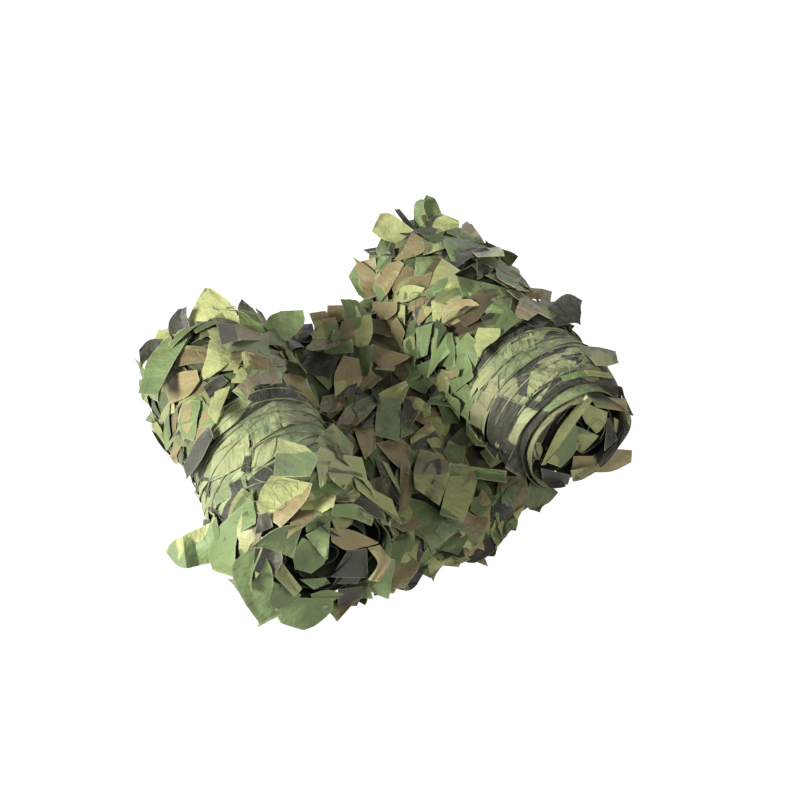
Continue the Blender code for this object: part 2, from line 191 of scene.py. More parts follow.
def web_point(across, along, height=0.0):
    """A point over the stretch. Across runs from the left roll's axis to the right roll's."""
    wave = WEB_EDGE_WAVE * math.sin(21.0 * across + 2.0) * (2.0 * along - 1.0)
    clear_of_rolls = smooth((min(across, 1.0 - across) - WEB_SIDE) / WEB_SPREAD)
    front_edge = -ROLL_LENGTH / 2 - WEB_OVERHANG_FRONT * clear_of_rolls
    back_edge = ROLL_LENGTH / 2 + WEB_OVERHANG_BACK * clear_of_rolls
    offset = front_edge + along * (back_edge - front_edge) + wave * clear_of_rolls
    sides = [roll.centre + roll.back * offset for roll in ROLLS]
    ground = sides[0].lerp(sides[1], across)
    return Vector((ground.x, ground.y, web_height(across, along) + height))


print("roll tops at", [round(roll_point(roll, math.pi / 2, 0.5).z, 3) for roll in ROLLS])

# %% [markdown]
# ## The camera, the floor and the light
#
# The camera comes before the pieces, because some leaves are placed by where they show in its picture. It
# looks down across both rolls with a long lens, which keeps them nearly parallel. The light is that of a
# product table: a white room and floor, one nearer lamp low at the left that gives the leaves their shadows,
# and two broad soft lamps, in front and behind, that keep those shadows open.

# %% Camera
IMAGE_SIZE = 800
LENS_MM = 81.0
SENSOR_MM = 36.0
CAMERA_AZIMUTH = math.radians(-24.43)
CAMERA_ELEVATION = math.radians(36.68)
CAMERA_DISTANCE = 2.988
PICTURE_MIDDLE = IMAGE_SIZE / 2
PICTURE_REACH = IMAGE_SIZE * LENS_MM / SENSOR_MM  # the lens's length in pixels
AIM = LAYOUT_SHIFT + Vector((0.0, 0.0, 0.1))
AIM_RIGHT = 0.0304
AIM_UP = 0.0143

view_back = Vector((
    math.sin(CAMERA_AZIMUTH) * math.cos(CAMERA_ELEVATION),
    -math.cos(CAMERA_AZIMUTH) * math.cos(CAMERA_ELEVATION),
    math.sin(CAMERA_ELEVATION),
))
view_right = Vector((math.cos(CAMERA_AZIMUTH), math.sin(CAMERA_AZIMUTH), 0.0))
view_up = view_back.cross(view_right)
camera_place = AIM + view_right * AIM_RIGHT + view_up * AIM_UP + view_back * CAMERA_DISTANCE


def add_object(name, data):
    """A new object in the scene."""
    added = bpy.data.objects.new(name, data)
    bpy.context.scene.collection.objects.link(added)
    return added


camera_data = bpy.data.cameras.new("camera")
camera_data.lens = LENS_MM
camera_data.sensor_width = SENSOR_MM
camera = add_object("camera", camera_data)
camera_turn = Matrix((view_right, view_up, view_back)).transposed().to_4x4()
camera.matrix_world = Matrix.Translation(camera_place) @ camera_turn
bpy.context.scene.camera = camera


def picture_place(point):
    """Where a point shows in the camera's picture, in pixels from its upper left corner."""
    seen = point - camera_place
    depth = -seen.dot(view_back)
    scale = PICTURE_REACH / depth
    across = PICTURE_MIDDLE + seen.dot(view_right) * scale
    return Vector((across, PICTURE_MIDDLE - seen.dot(view_up) * scale))


def picture_ray(across, down):
    """The direction from the camera through a pixel."""
    sideways = view_right * ((across - PICTURE_MIDDLE) / PICTURE_REACH)
    return (sideways - view_up * ((down - PICTURE_MIDDLE) / PICTURE_REACH) - view_back).normalized()


print("the middle of the floor shows at", [round(value) for value in picture_place(LAYOUT_SHIFT)])

# %% Floor and light
WHITE = (1.0, 1.0, 1.0, 1.0)
FLOOR_SIZE = 40.0
FLOOR_LOOK = {
    "Base Color": (0.2, 0.2, 0.2, 1.0),
    "Roughness": 0.8,
    "Emission Color": WHITE,
    "Emission Strength": 1.0,
}
WORLD_STRENGTH = 0.10
# Each lamp's name, place, size and power
LAMPS = (
    ("key", (-2.3, -0.35, 1.15), 0.8, 162.0),
    ("fill", (0.2, -2.6, 1.8), 2.0, 90.0),
    ("back", (1.6, 2.4, 1.5), 2.0, 40.0),
)


def new_material(name, look):
    """A material and its shader. Look gives plain values for the shader's inputs."""
    material = bpy.data.materials.new(name)
    material.use_nodes = True
    shader = material.node_tree.nodes["Principled BSDF"]
    for socket, value in look.items():
        shader.inputs[socket].default_value = value
    return material, shader


def add_floor():
    half = FLOOR_SIZE / 2
    corners = [(-half, -half, 0.0), (half, -half, 0.0), (half, half, 0.0), (-half, half, 0.0)]
    mesh = bpy.data.meshes.new("floor")
    mesh.from_pydata(corners, [], [(0, 1, 2, 3)])
    mesh.materials.append(new_material("white_floor", FLOOR_LOOK)[0])
    floor = add_object("floor", mesh)
    floor.visible_diffuse = False  # it shows white, but doesn't light the net from below


def add_lamp(name, place, size, power):
    """A broad square lamp that faces the middle of the net."""
    data = bpy.data.lights.new(name, "AREA")
    data.shape = "SQUARE"
    data.size = size
    data.energy = power
    lamp = add_object(name, data)
    lamp.location = place
    lamp.rotation_euler = (Vector(place) - AIM).to_track_quat("Z", "Y").to_euler()


add_floor()
for lamp in LAMPS:
    add_lamp(*lamp)
world = bpy.data.worlds.new("white_room")
world.use_nodes = True
room_light = world.node_tree.nodes["Background"]
room_light.inputs["Color"].default_value = WHITE
room_light.inputs["Strength"].default_value = WORLD_STRENGTH
bpy.context.scene.world = world
bpy.context.scene.view_settings.view_transform = "Standard"

# %% [markdown]
# ## The printed cloth
#
# The cloth is a thin, dull satin weave with a woodland print: light green under patches of mid green, brown
# and nearly black. An image would repeat or blur. Here each colour is a patch of smooth noise cut off at a
# level, one over the other, as a printer lays one screen over another. The noise reads a UV map in metres of
# flat cloth, so the patches keep their real size on every leaf. Three numbers at each point lean a leaf
# towards green, brown or black, and a fourth makes it lighter or darker: a little at random, and darker as
# painted shade on the lowest leaves, on the stretch between the rolls, on the inner turns at the rolls' ends
# and on the cloth under the leaves.

# %% Node helpers
class Nodes:
    """Adds nodes to a material's tree and links them, so that each line of a material reads as a step."""

    def __init__(self, material):
        self.tree = material.node_tree

    def add(self, kind, settings=None, **inputs):
        node = self.tree.nodes.new(kind)
        for key, value in (settings or {}).items():
            setattr(node, key, value)
        for key, value in inputs.items():
            self.set(node.inputs[key.replace("_", " ")], value)
        return node

    def set(self, socket, value):
        if isinstance(value, bpy.types.NodeSocket):
            self.tree.links.new(value, socket)
        else:
            socket.default_value = value

    def math(self, operation, *values):
        node = self.add("ShaderNodeMath", {"operation": operation})
        for socket, value in zip(node.inputs, values):
            self.set(socket, value)
        return node.outputs[0]

    def vector(self, operation, first, second):
        node = self.add("ShaderNodeVectorMath", {"operation": operation})
        self.set(node.inputs[0], first)
        self.set(node.inputs["Scale"] if operation == "SCALE" else node.inputs[1], second)
        return node.outputs[0]

    def step(self, value, level, softness):
        """0 below a level and 1 above it."""
        ends = {"From_Min": level - softness, "From_Max": level + softness}
        return self.add("ShaderNodeMapRange", {"clamp": True}, Value=value, **ends).outputs["Result"]

    def noise(self, vector, scale, detail=0.0, offset=0.0, output="Fac"):
        moved = self.vector("ADD", vector, (offset, 0.7 * offset, 0.0))
        flat = {"noise_dimensions": "2D"}
        node = self.add("ShaderNodeTexNoise", flat, Vector=moved, Scale=scale, Detail=detail)
        return node.outputs[output]

    def mix(self, factor, first, second, blend="MIX"):
        node = self.add("ShaderNodeMix", {"data_type": "RGBA", "blend_type": blend})
        for index, value in ((0, factor), (6, first), (7, second)):
            plain = isinstance(value, tuple)
            self.set(node.inputs[index], (*value, 1.0) if plain else value)
        return node.outputs[2]


# %% The print
LIGHT_GREEN = (0.240, 0.252, 0.100)
MID_GREEN = (0.104, 0.142, 0.052)
BROWN = (0.176, 0.143, 0.064)
NEAR_BLACK = (0.038, 0.038, 0.026)
WASHED_OUT = (0.215, 0.250, 0.135)
# The inks over the light green: each one's level, where its noise starts, and the number that leans to it
INKS = ((MID_GREEN, 0.5, 0.0, 0), (BROWN, 0.585, 3.1, 1), (NEAR_BLACK, 0.65, 7.7, 2))
PATCH_SCALE = 10.5  # patches to the metre, roughly
PATCH_EDGE = 0.009
WARP = 0.028
WARP_SCALE = 30.0


def print_colour(nodes, flat, bias, paleness):
    """The woodland print's colour at a place on the flat cloth. Bias leans it towards one of the inks, and
    paleness fades all of them but the black, as on the cloth's reverse."""
    wobble = nodes.noise(flat, WARP_SCALE, 1.0, output="Color")
    pushed = nodes.vector("SCALE", nodes.vector("SUBTRACT", wobble, (0.5, 0.5, 0.5)), WARP)
    warped = nodes.vector("ADD", flat, pushed)
    split = nodes.add("ShaderNodeSeparateColor", Color=bias)
    colour = LIGHT_GREEN
    for ink, level, offset, channel in INKS:
        if ink == NEAR_BLACK:
            colour = nodes.mix(paleness, colour, WASHED_OUT)
        field = nodes.noise(warped, PATCH_SCALE, 0.0, offset)
        patch = nodes.step(nodes.math("ADD", field, split.outputs[channel]), level, PATCH_EDGE)
        colour = nodes.mix(patch, colour, ink)
    return colour


# %% Cloth materials
THREADS_PER_METRE = 1100.0
THREAD_HEIGHT = 0.00006
CLOTH_LOOK = {"Specular IOR Level": 0.32, "Sheen Weight": 0.05, "Sheen Roughness": 0.4}
WAVE_SCALE = math.pi / 10.0  # a wave texture's scale for one wave to the metre
# paler frayed threads at the cut edges, with a painted highlight where they catch the light
FRAY_AND_EDGE_HIGHLIGHT = (0.40, 0.41, 0.26)
FRAY_WIDTH = 0.018  # as a share of the leaf
FRAY_SOFTNESS = 0.014
FRAY_AND_HIGHLIGHT_STRENGTH = 0.30
CLOUD_SCALE = 9.0
CREASE_SCALE = 38.0


def weave_height(nodes, flat):
    """The height of a plain weave: warp and weft threads as two crossing sets of ridges."""
    ridges = []
    for direction in ("X", "Y"):
        settings = {"wave_type": "BANDS", "bands_direction": direction}
        wave = nodes.add("ShaderNodeTexWave", settings, Vector=flat, Scale=THREADS_PER_METRE * WAVE_SCALE)
        ridges.append(wave.outputs["Fac"])
    return nodes.math("MULTIPLY", nodes.math("ADD", *ridges), 0.5)


def cut_edge(nodes):
    """1 along a leaf's cut edges and 0 inside: paler frayed threads, with a painted highlight where the edges
    catch the light.
    """
    place = nodes.add("ShaderNodeUVMap", {"uv_map": "leaf"}).outputs["UV"]
    split = nodes.add("ShaderNodeSeparateXYZ", Vector=place)
    to_edges = []
    for value in (split.outputs["X"], split.outputs["Y"]):
        to_edges.append(nodes.math("MINIMUM", value, nodes.math("SUBTRACT", 1.0, value)))
    nearest = nodes.math("MINIMUM", *to_edges)
    return nodes.math("SUBTRACT", 1.0, nodes.step(nearest, FRAY_WIDTH, FRAY_SOFTNESS))


def printed_cloth(name, paleness, crease_height, stretch=1.0, roughness=0.54):
    """Printed cloth. Paleness fades its print as on the reverse, and stretch draws its creases out."""
    material, shader = new_material(name, CLOTH_LOOK)
    nodes = Nodes(material)
    flat = nodes.add("ShaderNodeUVMap", {"uv_map": "cloth"}).outputs["UV"]
    bias = nodes.add("ShaderNodeAttribute", {"attribute_name": "print_bias"})
    printed = print_colour(nodes, flat, bias.outputs["Color"], paleness)
    # the cut edges: paler frayed threads and a painted highlight
    frayed = nodes.math("MULTIPLY", cut_edge(nodes), FRAY_AND_HIGHLIGHT_STRENGTH)
    edged = nodes.mix(frayed, printed, FRAY_AND_EDGE_HIGHLIGHT)
    clouds = nodes.math("MULTIPLY_ADD", nodes.noise(flat, CLOUD_SCALE, 2.0, 1.3), 0.5, 0.75)
    # the fourth number darkens the cloth: a little at random, and as painted shade where leaves lie deep,
    # between the rolls and under the leaves
    wear_and_shade = nodes.math("MULTIPLY", clouds, bias.outputs["Alpha"])
    grey = nodes.add("ShaderNodeCombineColor", Red=wear_and_shade, Green=wear_and_shade, Blue=wear_and_shade)
    nodes.set(shader.inputs["Base Color"], nodes.mix(1.0, edged, grey.outputs[0], "MULTIPLY"))
    drawn_out = nodes.vector("MULTIPLY", flat, (1.0 / stretch, stretch, 1.0))
    creases = nodes.noise(drawn_out, CREASE_SCALE, 3.0, 0.4)
    nodes.set(shader.inputs["Roughness"], nodes.math("MULTIPLY_ADD", creases, 0.2, roughness - 0.1))
    weave = weave_height(nodes, flat)
    creased = nodes.math("MULTIPLY", creases, crease_height)
    relief = nodes.math("MULTIPLY_ADD", weave, THREAD_HEIGHT, creased)
    bump = nodes.add("ShaderNodeBump", Strength=1.0, Distance=1.0, Height=relief)
    nodes.set(shader.inputs["Normal"], bump.outputs["Normal"])
    return material


leaf_cloth = printed_cloth("printed_leaf_cloth", 0.0, 0.0060)
taut_cloth = printed_cloth("taut_band_cloth", 0.45, 0.0100, stretch=1.5, roughness=0.6)
inner_cloth = printed_cloth("inner_cloth", 0.0, 0.0030)
print("cloth materials:", [material.name for material in (leaf_cloth, taut_cloth, inner_cloth)])

# %% [markdown]
# ## Thin closed cloth
#
# Every bit of cloth here is a sheet with two faces and a rim, about half a millimetre thick. A single
# surface would be simpler, but it has no inside and no edge to catch the light. So one helper takes a grid
# of points on the middle of the cloth, moves them out to both sides along the grid's own normals, and closes
# the rim. Many such shells go into one mesh, because thousands of separate objects would be slow. The mesh
# also gets a UV map for baking, in which every shell has two cells of one even board, so that no texture
# space is lost.

# %% A gatherer of shells
BAKE_MAP = "OFBake"
CELL_PADDING = 0.03
CREASE_ANGLE = math.radians(30.0)


class ClothMesh:
    """Many thin closed shells in one mesh, with the maps that the print reads."""

    def __init__(self):
        self.points = []
        self.faces = []
        self.flat_places = []
        self.leaf_places = []
        self.bias = []
        self.bake_corners = []
        self.area = 0.0

    def shell(self, grid, flat_grid, thickness, bias=(0.0, 0.0, 0.0, 1.0), frayed=True):
        """Adds a shell round a grid of points. Flat grid holds each point's place on the flat cloth, in
        metres. Bias is one for the whole shell, or a list of one a point."""
        rows, columns = len(grid), len(grid[0])
        first = len(self.points)
        count = rows * columns
        shares = [(j / (columns - 1), i / (rows - 1)) for i in range(rows) for j in range(columns)]
        normals = [[grid_normal(grid, i, j) for j in range(columns)] for i in range(rows)]
        for side in (0.5, -0.5):
            for i in range(rows):
                for j in range(columns):
                    self.points.append(grid[i][j] + normals[i][j] * (side * thickness))
                    self.flat_places.append(flat_grid[i][j])
        self.leaf_places += (shares if frayed else [(0.5, 0.5)] * count) * 2
        self.bias += (bias if isinstance(bias, list) else [bias] * count) * 2
        upper = [[first + i * columns + j for j in range(columns)] for i in range(rows)]
        corners = []
        for i in range(rows - 1):
            for j in range(columns - 1):
                quad = (upper[i][j], upper[i][j + 1], upper[i + 1][j + 1], upper[i + 1][j])
                self.faces.append(quad)
                corners += [(0, shares[index - first]) for index in quad]
                under = quad[::-1]
                self.faces.append(tuple(index + count for index in under))
                corners += [(1, shares[index - first]) for index in under]
                self.area += quad_area([self.points[index] for index in quad])
        left, right = [row[0] for row in upper], [row[-1] for row in upper]
        rim = upper[0][:-1] + right[:-1] + upper[-1][:0:-1] + left[:0:-1]
        grown = 1.0 + CELL_PADDING
        for here, after in zip(rim, rim[1:] + rim[:1], strict=True):
            self.faces.append((here, here + count, after + count, after))
            inside = [shares[here - first], shares[after - first]]
            outside = [tuple(0.5 + (value - 0.5) * grown for value in share) for share in inside]
            corners += [(0, share) for share in (inside[0], outside[0], outside[1], inside[1])]
        self.bake_corners.append(corners)

    def bake_places(self, columns):
        """Every face corner's place on the baking board, whose cells fill it row by row."""
        cells = 2 * len(self.bake_corners)
        columns = columns or math.ceil(math.sqrt(cells))
        rows = math.ceil(cells / columns)
        span = 1.0 - 2.0 * CELL_PADDING
        for shell, corners in enumerate(self.bake_corners):
            for side, (across, down) in corners:
                row, column = divmod(2 * shell + side, columns)
                yield (column + CELL_PADDING + span * across) / columns
                yield (row + CELL_PADDING + span * down) / rows

    def build(self, name, material, bake_columns=0):
        mesh = bpy.data.meshes.new(name)
        mesh.from_pydata(self.points, [], self.faces)
        corners = [index for face in self.faces for index in face]
        for label, places in (("cloth", self.flat_places), ("leaf", self.leaf_places)):
            layer = mesh.uv_layers.new(name=label)
            layer.data.foreach_set("uv", [value for index in corners for value in places[index]])
        layer = mesh.uv_layers.new(name=BAKE_MAP)
        layer.data.foreach_set("uv", list(self.bake_places(bake_columns)))
        attribute = mesh.attributes.new("print_bias", "FLOAT_COLOR", "POINT")
        attribute.data.foreach_set("color", [value for row in self.bias for value in row])
        mesh.materials.append(material)
        mesh.shade_smooth()
        mesh.set_sharp_from_angle(angle=CREASE_ANGLE)
        print(name, len(mesh.polygons), "faces,", round(self.area, 3), "square metres of cloth")
        return add_object(name, mesh)


def grid_normal(grid, i, j):
    """The normal at a grid's point, from its neighbours."""
    down = grid[min(i + 1, len(grid) - 1)][j] - grid[max(i - 1, 0)][j]
    right = grid[i][min(j + 1, len(grid[0]) - 1)] - grid[i][max(j - 1, 0)]
    normal = right.cross(down)
    return normal.normalized() if normal.length > 1e-12 else Vector((0.0, 0.0, 1.0))


def quad_area(corners):
    a, b, c, d = corners
    return 0.5 * (c - a).cross(d - b).length

# %% [markdown]
# ## The wound cloth
#
# Under the leaves lies the folded net itself, wound up like a carpet. A plain drum would do for the sides,
# but its ends would be flat lids. So each roll is one long sheet along a spiral: it keeps its radius for
# three quarters of a turn, then dives under itself where the stretch between the rolls hides it. Its long
# edges wander in and out, so that the ends show dark gaps between the turns.

# %% Wound sheets
TURNS = 4
TURN_PITCH = 0.0235
TURN_STEPS = 60
LENGTH_STEPS = 46
TUCK = 0.0050  # how far the wound cloth lies under the surface that the leaves start from
STRIP_TUCK = 0.0045  # how much lower it lies under the taut strips
WOUND_THICKNESS = 0.0012
FLOOR_GAP = 0.0009
LAYER_GAP = 0.0022  # between the turns that lie on the floor
DIVE_START = 0.72  # the share of a turn after which the spiral dives
DIVE_LENGTH = 0.28
# a slight lean of the print, and a fourth number that darkens the cloth under the leaves: painted shade in the
# gaps between them
INNER_BIAS = (0.07, -0.03, 0.03, 0.21)


def above_floor(point, least=FLOOR_GAP):
    return Vector((point.x, point.y, max(point.z, least)))


def turn_drop(turn):
    """How many pitches the spiral has sunk after a number of turns from the bottom."""
    whole = math.floor(turn)
    return whole + smooth((turn - whole - DIVE_START) / DIVE_LENGTH)


def wound_point(roll, turn, along):
    angle = math.radians(270.0) - math.tau * turn
    sunk = TUCK + TURN_PITCH * turn_drop(turn)
    tucked = sunk + STRIP_TUCK * bare_share(roll, angle, along)
    crumple = 0.0022 * math.sin(23.0 * along + 9.0 * turn) * math.sin(31.0 * turn + 11.0 * along)
    end = -1.0 if along < 0.5 else 1.0
    near_end = smooth((abs(2.0 * along - 1.0) - 0.8) / 0.2)
    wander = 0.007 * math.sin(5.3 * turn + 2.0 * end + roll.phase)
    wander += 0.005 * math.sin(13.7 * turn + roll.phase)
    crown = 0.012 * sunk / ROLL_RADIUS
    end_shift = roll.back * (end * near_end * (wander + crown))
    point = roll_point(roll, angle, along, crumple - tucked, ridged=False) + end_shift
    return above_floor(point, FLOOR_GAP + LAYER_GAP * turn)


def wound_sheet(roll):
    grid, flat = [], []
    for step in range(TURNS * TURN_STEPS + 1):
        turn = step / TURN_STEPS
        travelled = math.tau * turn * (ROLL_RADIUS - TURN_PITCH * turn / 2)
        grid.append([wound_point(roll, turn, k / LENGTH_STEPS) for k in range(LENGTH_STEPS + 1)])
        flat.append([(travelled, k / LENGTH_STEPS * ROLL_LENGTH) for k in range(LENGTH_STEPS + 1)])
    cloth = ClothMesh()
    cloth.shell(grid, flat, WOUND_THICKNESS, INNER_BIAS, frayed=False)
    return cloth.build(f"wound_cloth_{roll.name}", inner_cloth), cloth.area


wound_sheets = {roll.name: wound_sheet(roll) for roll in ROLLS}

# %% [markdown]
# ## The stretch between the rolls
#
# The net isn't rolled all the way: its middle lies slack between the rolls, bunched up behind and thin in
# front. The net was folded before it was rolled, so this is one crumpled sheet too: over the top, down to
# the floor at both open edges, and back underneath along the floor.

# %% Slack sheet
WEB_ROWS = 84
WEB_COLUMNS = 44
WEB_TUCK = 0.006
SKIRT_ROWS = 4
UNDERSIDE_ROWS = 40
UNDERSIDE_RUCK = 0.004
SLACK_LOWEST = 0.0035  # how close to the floor the top comes
SLACK_PRINT = (0.4, 2.0)  # where its part of the printed cloth starts
SLACK_ROW_LENGTH = 0.006


def shares_across():
    """The places across the stretch that a row has its points at."""
    return [WEB_SIDE + (1.0 - 2.0 * WEB_SIDE) * k / WEB_COLUMNS for k in range(WEB_COLUMNS + 1)]


def slack_row(along, drop=0.0):
    """A row of points across the stretch. Drop lowers it towards the floor, as a skirt under an edge."""
    row = []
    for across in shares_across():
        bunched = 0.0035 * math.sin(61.0 * across + 8.0 * math.sin(7.0 * along))
        ruck = 0.003 * math.sin(47.0 * along + 9.0 * across)
        point = above_floor(web_point(across, along, bunched + ruck - WEB_TUCK), SLACK_LOWEST)
        point.z = max(FLOOR_GAP, point.z * (1.0 - drop))
        row.append(point)
    return row


def underside_row(along):
    """A row of points on the floor, where the net's lowest fold lies under the slack stretch."""
    row = []
    for across in shares_across():
        ruck = math.sin(38.0 * across + 5.0 * along) * math.sin(33.0 * along + 4.0 * across)
        ground = web_point(across, along)
        row.append(Vector((ground.x, ground.y, FLOOR_GAP + UNDERSIDE_RUCK * ruck * ruck)))
    return row


def slack_sheet():
    skirt = [step / SKIRT_ROWS for step in range(SKIRT_ROWS, 0, -1)]
    grid = [underside_row(1.0 - (k + 1) / UNDERSIDE_ROWS) for k in range(UNDERSIDE_ROWS - 1)]
    grid += [slack_row(0.0, drop) for drop in skirt]
    grid += [slack_row(k / WEB_ROWS) for k in range(WEB_ROWS + 1)]
    grid += [slack_row(1.0, drop) for drop in reversed(skirt)]
    left, low = SLACK_PRINT
    flat = [[(point.x + left, low + SLACK_ROW_LENGTH * i) for point in row] for i, row in enumerate(grid)]
    cloth = ClothMesh()
    cloth.shell(grid, flat, WOUND_THICKNESS, INNER_BIAS, frayed=False)
    return cloth.build("slack_cloth", inner_cloth), cloth.area


slack_cloth, slack_area = slack_sheet()

# %% [markdown]
# ## What the leaves lie on
#
# A leaf needs to know three things about the cloth under it: where a point a little further on lies, which
# way is out, and how far a step goes. So the side of a roll, its two ends, each turn's edge and the slack
# stretch are all described alike, by two measures in metres.


# %% Surfaces
class Surface:
    """A curved surface, measured by u and v in metres along it. Side turns its normal outwards."""

    STEP = 0.002

    def __init__(self, place, side):
        self.place = place
        self.side = side

    def slopes(self, u, v):
        ahead, behind = self.place(u + self.STEP, v), self.place(u - self.STEP, v)
        above, below = self.place(u, v + self.STEP), self.place(u, v - self.STEP)
        return (ahead - behind) / (2.0 * self.STEP), (above - below) / (2.0 * self.STEP)

    def normal(self, u, v):
        along_u, along_v = self.slopes(u, v)
        return along_u.cross(along_v).normalized() * self.side

    def lifted(self, u, v, height):
        return self.place(u, v) + self.normal(u, v) * height


END_CROWN = 0.014
END_TUCK = 0.004
EDGE_FALL = 0.5


def side_surface(roll):
    def place(u, v):
        return roll_point(roll, u / ROLL_RADIUS, v / ROLL_LENGTH, ridged=False)

    return Surface(place, -roll.inward)


def end_surface(roll, end):
    """A roll's end face. End is -1 for the front and +1 for the back."""

    def place(u, v):
        crown = END_CROWN * (1.0 - (u * u + v * v) / ROLL_RADIUS ** 2)
        out = ROLL_LENGTH / 2 - END_TUCK + crown
        return roll.centre + roll.across * u + Vector((0.0, 0.0, v)) + roll.back * (end * out)

    return Surface(place, -roll.inward * end)


def turn_surface(roll, end, radius):
    """The cylinder that one turn of the cloth would make if it ran on out of the roll's end."""

    def place(u, v):
        axis = roll.centre + roll.back * (end * (ROLL_LENGTH / 2 - END_TUCK + v))
        return axis + roll.radial(u / radius) * radius

    return Surface(place, -roll.inward * end)


def slack_place(u, v):
    """A place on the slack stretch. Past its open edges the surface runs on down to the floor."""
    point = web_point(u / ROLL_SPACING, v / ROLL_LENGTH)
    beyond = max(-v, v - ROLL_LENGTH, 0.0)
    point.z -= min(beyond * EDGE_FALL, WEB_EDGE_HEIGHT)
    return point


slack_surface = Surface(slack_place, 1)
side_surfaces = {roll.name: side_surface(roll) for roll in ROLLS}
print("the left roll's top faces", [round(value, 2) for value in side_surfaces["left"].normal(0.18, 0.25)])

# %% [markdown]
# ## One leaf
#
# A leaf starts as a flat cut shape: a tab, a wedge, a slash and so on. The cloth is springy, so a leaf
# stands up from its root and bends on the way, rolls its sides, twists, and keeps the sharp folds that it
# got when it was packed. A sculpted leaf would look right once. Here all of that is worked out row by row
# from root to tip, so that every leaf is bent in its own way, and the cloth hardly stretches.

# %% A leaf's shape
LEAF_ROWS = 8
LEAF_COLUMNS = 8
LEAF_THICKNESS = 0.0006
RUFFLE = 0.0014


@dataclass(frozen=True)
class Cut:
    """A leaf's outline: shares of its width to the left and right at even steps from root to tip. Slant
    sends one corner of the tip ahead, and notch draws the tip's middle back."""

    left: tuple
    right: tuple
    slant: float = 0.0
    notch: float = 0.0


CUTS = {
    "tab": Cut((0.40, 0.44, 0.47, 0.50, 0.50), (0.38, 0.43, 0.47, 0.50, 0.50), 0.06),
    "square": Cut((0.46, 0.48, 0.50, 0.50, 0.50), (0.44, 0.47, 0.50, 0.50, 0.50), -0.10),
    "house": Cut((0.44, 0.48, 0.50, 0.50, 0.12), (0.42, 0.47, 0.50, 0.50, 0.10), 0.05),
    "wedge": Cut((0.50, 0.46, 0.42, 0.37, 0.30), (0.48, 0.42, 0.34, 0.26, 0.16), 0.16),
    "corner": Cut((0.30, 0.40, 0.50, 0.48, 0.46), (0.46, 0.50, 0.38, 0.25, 0.12), 0.18),
    "slash": Cut((0.42, 0.46, 0.50, 0.48, 0.44), (0.34, 0.38, 0.42, 0.46, 0.50), 0.34),
    "fork": Cut((0.38, 0.44, 0.50, 0.50, 0.48), (0.36, 0.44, 0.50, 0.52, 0.50), 0.06, 0.24),
    "flare": Cut((0.26, 0.32, 0.40, 0.50, 0.58), (0.24, 0.31, 0.38, 0.48, 0.55), -0.14),
}


@dataclass(frozen=True)
class Shape:
    """A leaf's two sides on the flat cloth, from root to tip, as places aside and ahead in metres, and how
    it is bent. Angles are in radians."""

    left: tuple
    right: tuple
    length: float
    notch: float = 0.0
    lift: float = 0.2  # the slope at the root
    bend: float = 0.0  # how much steeper the tip is
    fold: float = 0.0  # a sharp fold across it
    fold_row: int = 4
    creases: tuple = ()  # sharp bends: place (metres aside and ahead), direction and angle
    curl: float = 0.0  # rolls the sides up
    twist: float = 0.0
    ruffle: float = 0.0  # shifts the small waves


# %% Points along a side
def cut_side(shares, hand, slant, length, width):
    """One side of a cut as places in metres. Hand is -1 for the left side and 1 for the right."""
    steps = len(shares) - 1
    ahead = [length * k / steps * (1.0 + hand * slant) for k in range(steps + 1)]
    return tuple(Vector((hand * share * width, y)) for share, y in zip(shares, ahead))


def between(values, share):
    """A value partway along a row of evenly spaced ones, or a little past its ends."""
    place = share * (len(values) - 1)
    index = min(max(int(place), 0), len(values) - 2)
    return values[index] + (place - index) * (values[index + 1] - values[index])


def curved(before, start, end, after, share):
    """A place partway from start to end on a smooth curve that passes all four places."""
    bend = 2.0 * before - 5.0 * start + 4.0 * end - after
    swing = 3.0 * start - before - 3.0 * end + after
    return 0.5 * (2.0 * start + (end - before) * share + bend * share ** 2 + swing * share ** 3)


def on_side(corners, share):
    """A place partway along a leaf's side, whose corners the knife rounded a little."""
    place = share * (len(corners) - 1)
    index = min(int(place), len(corners) - 2)
    start, end = corners[index], corners[index + 1]
    before = corners[index - 1] if index > 0 else 2.0 * start - end
    after = corners[index + 2] if index + 2 < len(corners) else 2.0 * end - start
    return curved(before, start, end, after, place - index)


# %% A leaf's points
def leaf_points(shape):
    """A leaf's points, rooted at the origin, along +Y and facing +Z, and their places on the flat cloth."""
    middle = [Vector((0.0, 0.0))]
    for i in range(1, LEAF_ROWS + 1):
        slope = shape.lift + shape.bend * i / LEAF_ROWS + (shape.fold if i > shape.fold_row else 0.0)
        middle.append(middle[-1] + Vector((math.cos(slope), math.sin(slope))) * (shape.length / LEAF_ROWS))
    grid, flat = [], []
    for i in range(LEAF_ROWS + 1):
        share = i / LEAF_ROWS
        left, right = on_side(shape.left, share), on_side(shape.right, share)
        row, flat_row = [], []
        for j in range(LEAF_COLUMNS + 1):
            side = 2.0 * j / LEAF_COLUMNS - 1.0
            out, travelled = left.lerp(right, j / LEAF_COLUMNS)
            travelled -= shape.notch * share * shape.length * (1.0 - abs(side))
            reach = travelled / shape.length
            wave = math.sin(2.4 * side + 5.0 * share + shape.ruffle)
            wave += math.sin(6.0 * side * share - 2.0 * shape.ruffle)
            turned = shape.twist * reach
            height = RUFFLE * share * wave + 0.5 * shape.curl * abs(out * side) + out * math.sin(turned)
            for aside, ahead, direction, angle in shape.creases:
                beyond = (out - aside) * math.cos(direction) + (travelled - ahead) * math.sin(direction)
                height += math.tan(angle) * max(beyond, 0.0)
            on_middle = between(middle, reach)
            forward = (between(middle, reach + 0.01) - between(middle, reach - 0.01)).normalized()
            ahead, above = on_middle + Vector((-forward.y, forward.x)) * height
            row.append(Vector((out * math.cos(turned), ahead, above)))
            flat_row.append((out, travelled))
        grid.append(row)
        flat.append(flat_row)
    return grid, flat


